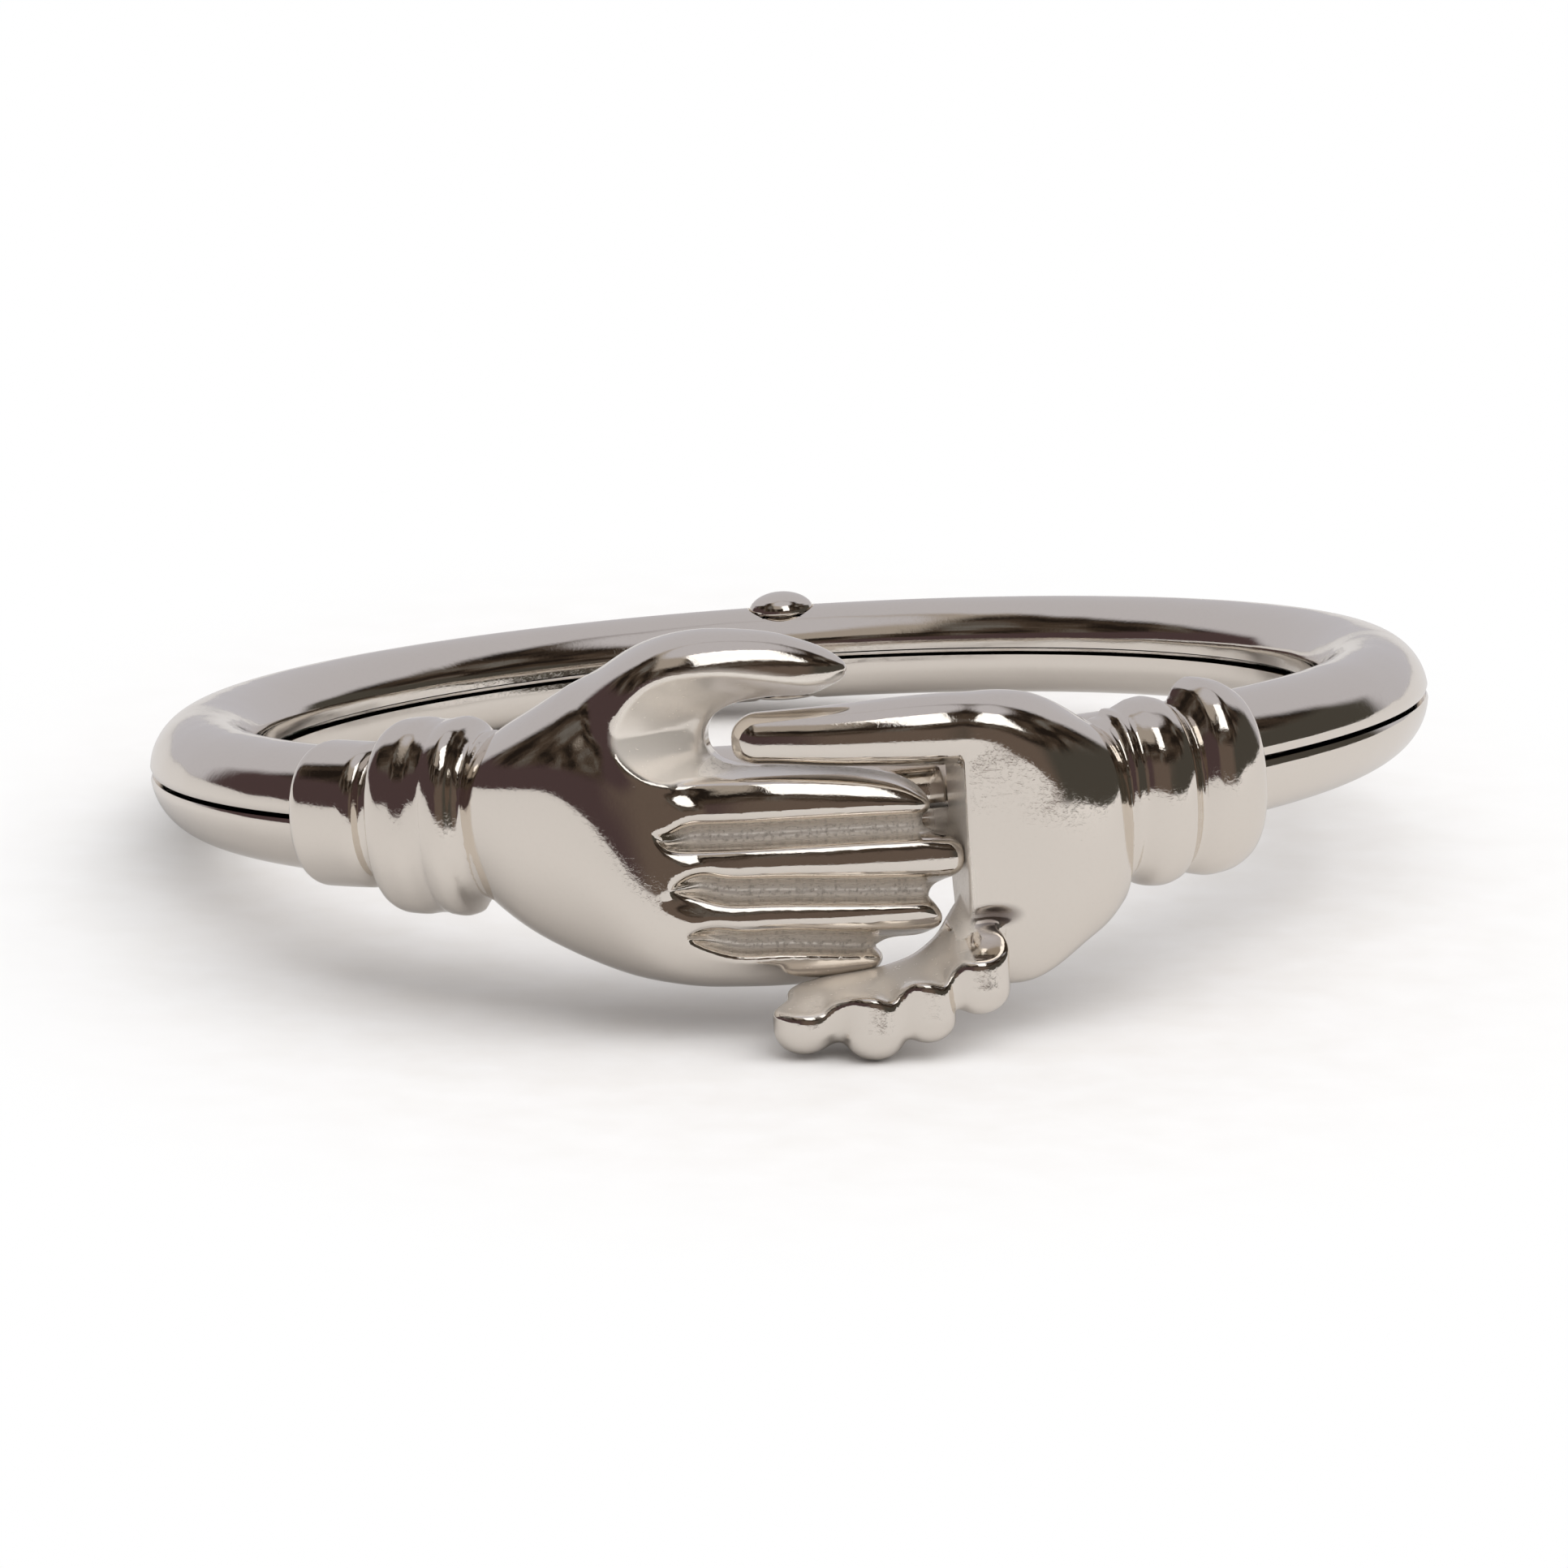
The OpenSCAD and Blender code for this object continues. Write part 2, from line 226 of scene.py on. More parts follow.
# A smooth stroke through points, as a list of short steps.
def stroke(points, steps=6):
    points = np.array(points, float)
    reach = np.concatenate([[0], np.cumsum(np.hypot(*np.diff(points, axis=0).T))])
    ways = [flowingCurve(reach, points[:, c]) for c in (0, 1)]
    at = np.linspace(0, reach[-1], steps * (len(points) - 1) + 1)
    return np.stack([way(at) for way in ways], 1)


# Distance from a closed outline in the (u, v) plane, negative inside.
def planDistance(*strokes):
    outline = np.concatenate(strokes)

    def distance(u, v):
        u, v = np.broadcast_arrays(u, v)
        nearest = np.full(u.shape, 1e9)
        inside = np.zeros(u.shape, bool)
        for (au, av), (bu, bv) in zip(outline, np.roll(outline, -1, axis=0)):
            du, dv = bu - au, bv - av
            length = du * du + dv * dv
            if length < 1e-12:
                continue
            t = np.clip(((u - au) * du + (v - av) * dv) / length, 0, 1)
            nearest = np.minimum(nearest, (u - au - t * du) ** 2 + (v - av - t * dv) ** 2)
            if av != bv:
                inside ^= ((av > v) != (bv > v)) & (u < au + du * (v - av) / dv)
        return np.sqrt(nearest) * np.where(inside, -1, 1)
    return distance


# Room for the other hoop, below the seam for side 1 and above it for side -1.
# Past the front it widens, because there the hoop swings on a wider circle.
def swingRoom(side):
    clear = faceRadius + hoop["cleanGap"]

    def field(u, v, n):
        turn = np.maximum(side * u / faceRadius, 0)
        pivot = hoop["middleRadius"]
        wide = np.sqrt((pivot + clear) ** 2 - (pivot * np.sin(turn)) ** 2) - pivot * np.cos(turn)
        return np.maximum(side * v - hoop["seamGap"], faceRadius + n - np.where(side * u > 0, wide, clear))
    return field


# Meshes a field of (u, v, n) and bends it round the hoop.
def meshField(name, field, low, high, step):
    step = step * 1
    axes = [np.arange(low[c], high[c] + step, step) for c in range(3)]
    values = field(axes[0][:, None, None], axes[1][None, :, None], axes[2][None, None, :])
    grid = openvdb.FloatGrid(1.0)
    grid.copyFromArray(np.ascontiguousarray(values, np.float32))
    points, quads = grid.convertToQuads(0.0)
    points = points.astype(float) * step + np.array(low)
    reach, farthest, leastSlope = 0.25 * step, 0.5 * step, 0.05
    for again in range(3):  # brings each point onto the surface itself
        here = field(*points.T)
        slope = np.stack([(field(*(points + reach * side).T) - field(*(points - reach * side).T))
                          / (2 * reach) for side in np.eye(3)], 1)
        move = -(here / np.maximum((slope ** 2).sum(1), leastSlope))[:, None] * slope
        size = np.sqrt((move ** 2).sum(1, keepdims=True))
        points += move * np.minimum(1, farthest / np.maximum(size, 1e-9))
    turn, radius = points[:, 0] / faceRadius, faceRadius + points[:, 2]
    placed = np.stack([radius * np.sin(turn), -radius * np.cos(turn), points[:, 1]], 1)
    mesh = bpy.data.meshes.new(name)
    mesh.from_pydata(placed, [], quads)
    return mesh


def addObject(name, data):
    made = bpy.data.objects.new(name, data)
    bpy.context.scene.collection.objects.link(made)
    return made


# Takes what an object's modifiers make as a plain mesh, and removes them.
def bake(made):
    bpy.context.view_layer.update()
    graph = bpy.context.evaluated_depsgraph_get()
    mesh = bpy.data.meshes.new_from_object(made.evaluated_get(graph))
    made.modifiers.clear()
    made.data = mesh
    return made


def combine(made, other, operation):
    step = made.modifiers.new(operation, "BOOLEAN")
    step.operation, step.object, step.solver = operation, other, "MANIFOLD"
    bake(made)
    bpy.data.objects.remove(other)
    return made


# Left hand, in millimetres on the unrolled face of the hoops: u runs along the
# hoops from the front, v up the finger, n out from their face.
leftHand = {
    # u, low, high, back, front
    "cuff": [
        [-8.34, -0.80, 1.10, -0.70, 0.78],
        [-8.24, -0.96, 1.27, -0.84, 0.98],
        [-8.06, -1.02, 1.34, -0.90, 1.06],
        [-7.20, -1.01, 1.34, -0.90, 1.06],
        [-7.03, -0.95, 1.28, -0.86, 1.00],
        [-6.94, -0.84, 1.18, -0.80, 0.86],
        [-6.70, -0.84, 1.20, -0.80, 0.86],
        [-6.62, -1.14, 1.55, -0.88, 1.16],
        [-6.51, -1.30, 1.70, -0.94, 1.32],
        [-6.30, -1.37, 1.78, -0.98, 1.40],
        [-6.06, -1.38, 1.79, -0.98, 1.40],
        [-5.96, -1.37, 1.78, -0.98, 1.37],
        [-5.82, -1.35, 1.76, -0.97, 1.33],
        [-5.64, -1.35, 1.76, -0.97, 1.34],
        [-5.50, -1.38, 1.79, -0.99, 1.41],
        [-5.34, -1.39, 1.81, -1.00, 1.45],
        [-5.20, -1.34, 1.76, -0.96, 1.38],
        [-5.08, -1.18, 1.62, -0.90, 1.22],
        [-4.98, -1.10, 1.56, -0.86, 1.16],
        [-4.88, -1.12, 1.58, -0.86, 1.18],
        [-4.76, -1.04, 1.50, -0.78, 1.10],
        [-4.60, -1.00, 1.46, -0.70, 1.04],
    ],
    # u, low, high, v of the fullest line, height of the hand's back, squareness
    "palm": [
        [-5.00, -1.10, 1.40, 0.40, 1.16, 2.3],
        [-4.62, -1.42, 1.66, 0.56, 1.38, 2.3],
        [-4.20, -1.72, 1.90, 0.66, 1.55, 2.3],
        [-3.68, -2.00, 2.20, 0.66, 1.66, 2.3],
        [-3.12, -2.25, 2.48, 0.38, 1.74, 2.3],
        [-2.60, -2.43, 2.68, -0.36, 1.76, 2.3],
        [-2.10, -2.54, 2.70, -1.05, 1.72, 2.3],
        [-1.60, -2.62, 2.44, -1.20, 1.62, 2.4],
        [-1.00, -2.66, 2.04, -0.80, 1.54, 2.7],
        [-0.35, -2.68, 1.78, -0.40, 1.46, 2.8],
        [0.20, -2.66, 1.66, -0.35, 1.40, 2.7],
        [0.80, -2.60, 1.60, -0.35, 1.34, 2.6],
        [1.50, -2.52, 1.54, -0.35, 1.28, 2.6],
        [2.50, -2.44, 1.46, -0.35, 1.22, 2.6],
    ],
    "thumb": [  # columns as for the cuff
        [-3.20, 1.10, 1.96, -0.20, 0.60],
        [-2.80, 1.50, 2.44, -0.30, 1.00],
        [-2.22, 1.94, 2.90, -0.34, 1.32],
        [-1.66, 2.04, 3.12, -0.32, 1.36],
        [-1.12, 2.03, 3.16, -0.28, 1.26],
        [-0.57, 1.99, 3.11, -0.22, 1.15],
        [-0.03, 2.00, 3.00, -0.12, 1.04],
        [0.42, 2.06, 2.82, -0.02, 0.95],
        [0.96, 2.16, 2.60, 0.10, 0.82],
    ],
    "thumbTip": [0.30, 0.97],  # the u where its rounding starts and ends
    "web": [
        [-2.90, 0.80, 2.15, -0.30, 1.20],
        [-2.40, 0.60, 2.42, -0.30, 1.50],
        [-1.80, 0.62, 2.60, -0.30, 1.50],
        [-1.20, 0.74, 2.60, -0.28, 1.36],
        [-0.60, 0.80, 2.50, -0.24, 1.16],
        [0.00, 0.82, 2.40, -0.14, 0.96],
        [0.50, 0.84, 2.25, 0.00, 0.74],
    ],
    # Crisp lip of the hollow between thumb and forefinger, then its far side.
    "hollowLip": [
        [[3.40, 2.20], [1.12, 2.34], [0.80, 2.40], [0.36, 2.40], [-0.13, 2.49], [-0.63, 2.61],
         [-1.04, 2.66], [-1.44, 2.64], [-1.86, 2.53], [-2.20, 2.28], [-2.46, 1.93], [-2.57, 1.62],
         [-2.50, 1.33], [-2.28, 1.06], [-1.99, 0.84], [-1.72, 0.74]],
        [[-1.72, 0.74], [-1.26, 0.79], [-0.85, 0.80], [-0.24, 0.78], [0.27, 0.73], [0.79, 0.67],
         [1.30, 0.57], [1.66, 0.44], [1.98, 0.20], [3.40, -0.60]],
    ],
    # Rim of the opening at the bottom of the hollow.
    "openingRim": [
        [[3.40, 2.10], [0.90, 2.12], [0.37, 2.00], [-0.17, 2.00], [-0.61, 1.97], [-0.94, 1.89],
         [-1.17, 1.74], [-1.28, 1.58], [-1.32, 1.38], [-1.27, 1.18], [-1.12, 1.02], [-0.85, 0.93],
         [-0.30, 0.90], [0.30, 0.86], [0.80, 0.80], [1.30, 0.70], [1.70, 0.56], [2.10, 0.30],
         [3.40, -0.30]],
    ],
    "lipHeight": 1.62,
    "rimHeight": 0.46,
    "back": -0.28,
    # Crisp lower edge of each channel between the fingers, from its pointed
    # end. The first is the forefinger's own edge.
    "channelEdges": [
        [[-1.72, 0.76], [-1.26, 0.80], [-0.85, 0.81], [-0.24, 0.79], [0.27, 0.74],
         [0.79, 0.67], [1.30, 0.57], [1.66, 0.44], [1.98, 0.20], [2.40, -0.20]],
        [[-1.98, -0.02], [-1.86, -0.16], [-1.67, -0.24], [-1.08, -0.28], [0.60, -0.32], [2.50, -0.40]],
        [[-1.80, -0.90], [-1.49, -1.00], [-1.13, -1.13], [-0.59, -1.19], [0.60, -1.29], [2.30, -1.44]],
        [[-1.62, -1.68], [-1.28, -1.88], [-0.99, -2.00], [-0.39, -2.05], [0.40, -2.14], [1.50, -2.26]],
    ],
    "channelRun": 0.62,  # over which a channel opens from its pointed end
    "channelDepth": 0.46,
    # Across a finger's crest and the channel above it: height above the crisp
    # edge, and share of the depth.
    "channelCut": [
        [-0.32, 0.00], [-0.24, 0.012], [-0.16, 0.04], [-0.09, 0.075], [-0.04, 0.125], [-0.005, 0.22],
        [0.03, 0.44], [0.06, 0.70], [0.10, 0.90], [0.15, 0.98], [0.20, 1.00], [0.27, 0.93],
        [0.34, 0.70], [0.40, 0.42], [0.46, 0.20], [0.52, 0.07], [0.58, 0.01], [0.64, 0.00],
    ],
    # The skin folds down to the fingers along a scalloped line of knuckles,
    # each of which leans.
    "knuckles": {"at": -1.78, "scallop": 0.12, "lean": 0.6, "pitch": 0.90, "middle": 0.44, "run": 0.40,
                 "fall": 0.06, "lowest": -1.6, "fadeIn": 0.5},
    # Ends of the fingers, from the little finger to the forefinger.
    "fingerEnds": [
        [[-7.00, -3.60], [0.60, -3.60]],
        [[0.95, -3.00], [1.16, -2.62], [1.23, -2.40], [1.22, -2.25], [1.12, -2.13]],
        [[1.12, -2.13], [1.30, -2.04], [1.62, -2.02], [1.92, -1.98], [2.06, -1.84], [2.08, -1.62],
         [1.94, -1.35]],
        [[1.94, -1.35], [2.02, -1.22], [2.24, -1.07], [2.41, -0.90], [2.45, -0.68], [2.41, -0.50],
         [2.30, -0.38]],
        [[2.30, -0.38], [2.04, -0.30], [1.93, -0.18], [1.95, 0.02], [2.02, 0.20], [2.02, 0.60]],
        [[2.02, 3.60], [-7.00, 3.60]],
    ],
    "squareness": {"cuff": 2.3, "web": 2.8, "thumb": 2.2},  # 2 is round
    # Reach of the rounding where a form ends, and of the blends between forms.
    "caps": {"cuff": 0.14, "web": 0.3, "thumb": 0.1, "palm": 0.1},
    "blends": {"fingerEnds": 0.24, "web": 0.30, "thumb": 0.45, "bowl": 0.06, "opening": 0.16, "back": 0.12,
               "cuff": 0.05, "room": 0.04},
    "box": [(-8.6, -2.9, -1.25), (2.7, 3.4, 2.0)],  # all of the hand, in u, v and n
    "hiddenDepth": 0.6,  # of the palm behind the face of the hoops
    "mouth": 0.25,  # height of a channel at its pointed end, as a share
    "front": {"n": 0.25, "uFrom": -2.6, "uTo": 2.5},  # where the finish may be matte
    # Matte from half the channels' depth on, and over this run from the lip.
    "matte": {"steepness": 2.2, "lipRun": 0.12, "hollow": 0.55},
    "frost": {"hollow": 0.9, "channels": 0.35},
    "step": 0.050,
}


def leftHandField():
    shape, blends = leftHand, leftHand["blends"]
    cuff = castForm(shape, "cuff", steadyCurve)
    web, thumb = castForm(shape, "web"), castForm(shape, "thumb")
    us = [row[0] for row in shape["palm"]]
    low, high, full, crown, squareness = (
        flowingCurve(us, [row[c] for row in shape["palm"]]) for c in (1, 2, 3, 4, 5))
    edges = [(points[0][0], flowingCurve(*zip(*points))) for points in shape["channelEdges"]]
    fingerEnds, lip, rim = (planDistance(*(stroke(points) for points in shape[name]))
                            for name in ("fingerEnds", "hollowLip", "openingRim"))
    cut = steadyCurve(*zip(*shape["channelCut"]))
    room = swingRoom(1)

    def cutDepth(u, v):
        depth = 0
        for start, edge in edges:
            rest = np.clip(1 - (u - start) / shape["channelRun"], 0, 1)
            opened = 1 - rest * rest
            above = v - edge(u)
            across = np.where(above > 0, above / (shape["mouth"] + (1 - shape["mouth"]) * opened), above)
            depth = depth + shape["channelDepth"] * opened * cut(across)
        return depth

    def knuckleFall(u, v):
        fold = shape["knuckles"]
        phase = (v - fold["middle"]) / fold["pitch"]
        upFinger = phase - np.round(phase)
        upFinger = upFinger * (1 - 4 * upFinger * upFinger) * fold["pitch"]
        line = fold["at"] + fold["scallop"] * np.cos(fullTurn * phase) - fold["lean"] * upFinger
        return fold["fall"] * ease((u - line) / fold["run"]) * ease((v - fold["lowest"]) / fold["fadeIn"])

    # The hollow falls from its lip to the opening, steep at first.
    def bowl(fromLip, fromRim, n):
        width = fromLip + np.maximum(fromRim, 0)
        share = np.clip(fromLip / np.maximum(width, 1e-3), 0, 1)
        fall = shape["lipHeight"] - shape["rimHeight"]
        level = shape["rimHeight"] + fall * (1 - share) ** 1.5
        steep = 1.5 * fall * np.sqrt(1 - share) / np.maximum(width, 0.2)
        return np.minimum(fromLip, (n - level) / np.sqrt(1 + steep * steep))

    def field(u, v, n):
        middle = full(u)
        reach = np.where(v > middle, high(u) - middle, middle - low(u))
        height = n + cutDepth(u, v) + knuckleFall(u, v)
        size = (np.abs(v - middle) / reach) ** squareness(u)
        size = size + np.where(height > 0, height / crown(u), height / shape["hiddenDepth"]) ** 2
        palm = (np.sqrt(size) - 1) * crown(u)
        palm = smoothMax(palm, us[0] - u, shape["caps"]["palm"])
        palm = smoothMax(palm, fingerEnds(u, v), blends["fingerEnds"])
        made = smoothMin(palm, web(u, v, n), blends["web"])
        made = smoothMin(made, thumb(u, v, n), blends["thumb"])
        fromLip, fromRim = -lip(u, v), rim(u, v)
        made = smoothMax(made, bowl(fromLip, fromRim, n), blends["bowl"])
        made = smoothMax(made, -fromRim, blends["opening"])
        made = smoothMax(made, shape["back"] - n, blends["back"])
        made = smoothMin(made, cuff(u, v, n), blends["cuff"])
        return smoothMax(made, -room(u, v, n), blends["room"])

    def unpolished(u, v, n):
        front, matte = shape["front"], shape["matte"]
        onFront = (n > front["n"]) & (u > front["uFrom"]) & (u < front["uTo"])
        steepness = matte["steepness"]
        channels = ease(cutDepth(u, v) / shape["channelDepth"] * steepness - 0.5 * steepness)
        hollow = matte["hollow"] * ease(-lip(u, v) / matte["lipRun"])
        return np.where(onFront, np.maximum(channels, hollow), 0)

    # Pickling left a white frost, most of it in the hollow.
    def frosted(u, v, n):
        share = np.where(lip(u, v) < 0, shape["frost"]["hollow"], shape["frost"]["channels"])
        return unpolished(u, v, n) * share
    return field, {"unpolished": unpolished, "frosted": frosted}


# Right hand, in the same way.
rightHand = {
    # u, low, high, back, front and, in some, v of the fullest line
    "cuff": [
        [4.80, -1.50, 1.12, -0.70, 1.10],
        [5.04, -1.50, 1.16, -0.78, 1.12],
        [5.16, -1.53, 1.27, -0.84, 1.20],
        [5.28, -1.46, 1.26, -0.84, 1.18],
        [5.40, -1.50, 1.30, -0.88, 1.26],
        [5.60, -1.64, 1.37, -0.94, 1.37],
        [5.82, -1.67, 1.39, -0.96, 1.40],
        [6.04, -1.63, 1.34, -0.92, 1.33],
        [6.20, -1.54, 1.20, -0.86, 1.16],
        [6.31, -1.50, 1.16, -0.84, 1.08],
        [6.40, -1.52, 1.28, -0.86, 1.17],
        [6.54, -1.58, 1.48, -0.92, 1.31],
        [6.78, -1.63, 1.58, -0.96, 1.41],
        [7.02, -1.62, 1.54, -0.94, 1.37],
        [7.28, -1.56, 1.43, -0.92, 1.27],
        [7.46, -1.46, 1.30, -0.86, 1.14],
        [7.56, -1.28, 1.12, -0.74, 0.95],
    ],
    "palm": [
        [2.44, -2.56, 1.80, -0.10, 1.36, 1.18],
        [2.60, -2.72, 1.82, -0.20, 1.39, 1.16],
        [2.96, -2.86, 1.84, -0.34, 1.48, 1.04],
        [3.46, -2.84, 1.76, -0.42, 1.62, 0.56],
        [3.90, -2.62, 1.60, -0.50, 1.66, 0.05],
        [4.30, -2.36, 1.38, -0.55, 1.57, -0.22],
        [4.70, -2.12, 1.12, -0.57, 1.41, -0.34],
        [5.06, -1.84, 0.92, -0.60, 1.14, -0.38],
    ],
    "thumb": [
        [-0.90, 1.00, 1.80, 0.24, 1.18, 1.34],
        [-0.30, 0.98, 1.82, 0.20, 1.24, 1.34],
        [0.50, 0.90, 1.84, 0.12, 1.32, 1.30],
        [1.30, 0.83, 1.88, 0.06, 1.38, 1.26],
        [2.10, 0.77, 1.90, 0.04, 1.44, 1.22],
        [2.80, 0.74, 1.86, 0.04, 1.36, 1.18],
        [3.40, 0.64, 1.75, 0.04, 1.16, 1.06],
        [4.00, 0.46, 1.50, 0.00, 0.90, 0.86],
        [4.60, 0.20, 1.10, -0.10, 0.60, 0.60],
    ],
    "thumbTip": [-0.48, -0.91],
    "shelf": [
        [-0.30, -3.34, -2.10, 0.66, 1.72],
        [0.20, -3.44, -2.00, 0.50, 1.84],
        [0.90, -3.46, -1.90, 0.40, 1.90],
        [1.60, -3.28, -1.80, 0.32, 1.86],
        [2.20, -2.98, -1.40, 0.26, 1.80],
        [2.80, -2.74, -1.20, 0.20, 1.68],
    ],
    # u, foot, radius, front
    "curledFingers": [
        [-0.06, -3.58, 0.43, 2.00],
        [0.90, -3.73, 0.43, 2.13],
        [1.64, -3.52, 0.38, 2.09],
        [2.41, -3.16, 0.42, 2.03],
    ],
    # Their upper side runs from a scalloped front rim to a smooth back edge,
    # both as u and v, at the two heights n below.
    "rim": [
        [-0.60, -2.80], [-0.20, -2.88], [0.16, -2.92], [0.36, -2.74], [0.60, -2.66], [0.90, -2.69],
        [1.12, -2.78], [1.26, -2.62], [1.44, -2.50], [1.66, -2.53], [1.84, -2.60], [2.00, -2.38],
        [2.16, -2.26], [2.45, -2.26], [2.80, -2.18],
    ],
    "backEdge": [
        [-0.60, -2.72], [0.20, -2.58], [1.04, -2.51], [1.57, -2.39], [2.00, -2.13], [2.24, -1.84],
        [2.50, -1.56], [2.90, -1.46],
    ],
    "rimAt": 2.02,
    "backEdgeAt": 0.90,
    "upperRise": 0.24,  # of the upper side, from rim to back
    "straightened": (1.9, 2.4),  # the u over which it turns into a straight climb
    "upperSlope": 1.05,  # length of its gradient
    # Middle and half sizes of the dark cup above the last curled finger.
    "cup": [[2.68, -1.68, 1.66], [0.44, 0.22, 0.46]],
    "squareness": {"cuff": 2.3, "palm": 2.5, "thumb": 2.3, "shelf": 2.9},
    "caps": {"cuff": 0.14, "palm": 0.08, "thumb": 0.1, "shelf": 0.2},
    "blends": {"thumb": 0.06, "fingers": 0.16, "upperSide": 0.12, "shelf": 0.08, "cup": 0.08, "cuff": 0.05,
               "room": 0.04},
    "thumbRoot": {"from": 2.8, "run": 1.0, "wider": 0.20},  # where the thumb's blend widens
    "sawnFace": {"u": 2.53, "run": 0.06, "uFrom": 2.2, "vFrom": -2.0, "vTo": 0.76, "nTo": 1.3},
    "fingerTops": {"depth": 0.08, "uTo": 2.3, "vTo": -1.9, "nTo": 1.95},
    "unpolished": {"sawnFace": 0.8, "fingerTops": 0.6, "cup": 0.6},
    # How far past the cup's edge its painted shade reaches.
    "cupShadeReach": {"atEdge": 0.8, "run": 0.1},
    "frost": 0.6,
    "box": [(-1.3, -4.0, -1.25), (7.9, 2.3, 2.4)],
    "step": 0.042,
}


def rightHandField():
    shape, blends = rightHand, rightHand["blends"]
    cuff = castForm(shape, "cuff", steadyCurve)
    palm, thumb, shelf = (castForm(shape, name) for name in ("palm", "thumb", "shelf"))
    rim, backEdge = (steadyCurve(*zip(*shape[name])) for name in ("rim", "backEdge"))
    room = swingRoom(-1)

    def curledFinger(u, v, n, row):
        at, foot, radius, front = row
        drop = np.minimum(v - (foot + radius), 0)
        return np.sqrt((u - at) ** 2 + (n - front + radius) ** 2 + drop * drop) - radius

    def cup(u, v, n):
        (cu, cv, cn), (ru, rv, rn) = shape["cup"]
        return (np.sqrt(((u - cu) / ru) ** 2 + ((v - cv) / rv) ** 2 + ((n - cn) / rn) ** 2) - 1) * rv

    # Height of the fingers' upper side: only its rim is scalloped, and towards
    # the palm it climbs straight from the rim to the back edge.
    def upperSide(u, n):
        beyond = 0.3  # how far the slope goes on past rim and back edge
        inward = (shape["rimAt"] - n) / (shape["rimAt"] - shape["backEdgeAt"])
        inward = np.clip(inward, -beyond, 1 + beyond)
        sloped = backEdge(u) - shape["upperRise"] * (1 - inward)
        straight = backEdge(u) + (rim(u) - backEdge(u)) * (1 - inward)
        start, end = shape["straightened"]
        level = sloped + (straight - sloped) * ease((u - start) / (end - start))
        return level + (rim(u) - level) * np.clip(1 - inward, 0, 1) ** 2

    def field(u, v, n):
        root = shape["thumbRoot"]
        rootBlend = blends["thumb"] + root["wider"] * ease((u - root["from"]) / root["run"])
        made = smoothMin(palm(u, v, n), thumb(u, v, n), rootBlend)
        fingers = shelf(u, v, n)
        for row in shape["curledFingers"]:
            fingers = smoothMin(fingers, curledFinger(u, v, n, row), blends["fingers"])
        fingers = smoothMax(fingers, (v - upperSide(u, n)) / shape["upperSlope"], blends["upperSide"])
        made = smoothMin(made, fingers, blends["shelf"])
        made = smoothMax(made, -cup(u, v, n), blends["cup"])
        made = smoothMin(made, cuff(u, v, n), blends["cuff"])
        return smoothMax(made, -room(u, v, n), blends["room"])

    # The cup is painted dark, as painted shade, and a little past its edge.
    def paintedCupShade(u, v, n):
        return ease(shape["cupShadeReach"]["atEdge"] - cup(u, v, n) / shape["cupShadeReach"]["run"])

    def unpolished(u, v, n):
        face, tops, amounts = shape["sawnFace"], shape["fingerTops"], shape["unpolished"]
        onFace = (u > face["uFrom"]) & (v < face["vTo"]) & (v > face["vFrom"]) & (n < face["nTo"])
        onTops = (u < tops["uTo"]) & (v < tops["vTo"]) & (n < tops["nTo"])
        sawn = amounts["sawnFace"] * ease((face["u"] - u) / face["run"]) * onFace
        worn = amounts["fingerTops"] * ease((v - upperSide(u, n)) / tops["depth"] + 1) * onTops
        return np.maximum(np.maximum(sawn, worn), amounts["cup"] * paintedCupShade(u, v, n))

    def frosted(u, v, n):
        return shape["frost"] * unpolished(u, v, n) * (1 - paintedCupShade(u, v, n))
    return field, {"unpolished": unpolished, "paintedCupShade": paintedCupShade, "frosted": frosted}


# Starts a Geometry Nodes tree: an input for each named value, and a grid that
# runs from 0 to 1 across and around what is swept.
def startTree(name, values):
    kinds = {float: "NodeSocketFloat", int: "NodeSocketInt", bpy.types.Material: "NodeSocketMaterial"}
    tree = bpy.data.node_groups.new(name, "GeometryNodeTree")
    for socket, value in values.items():
        tree.interface.new_socket(socket, in_out="INPUT", socket_type=kinds[type(value)])
    tree.interface.new_socket("Geometry", in_out="OUTPUT", socket_type="NodeSocketGeometry")
    known = {socket.name: socket for socket in addNode(tree, "NodeGroupInput")}
    grid = addNode(tree, "GeometryNodeMeshGrid", {
        "Vertices X": known["Steps Across"], "Vertices Y": known["Steps Around"]})
    place = addNode(tree, "ShaderNodeSeparateXYZ", {0: grid["UV Map"]})
    known["gridX"], known["gridY"] = place["X"], place["Y"]
    return tree, grid["Mesh"], known


def endTree(tree, geometry, material):
    real = addNode(tree, "GeometryNodeRealizeInstances", {"Geometry": geometry})[0]
    finish = addNode(tree, "GeometryNodeSetMaterial", {"Geometry": real, "Material": material})[0]
    addNode(tree, "NodeGroupOutput", {"Geometry": finish})
    return tree


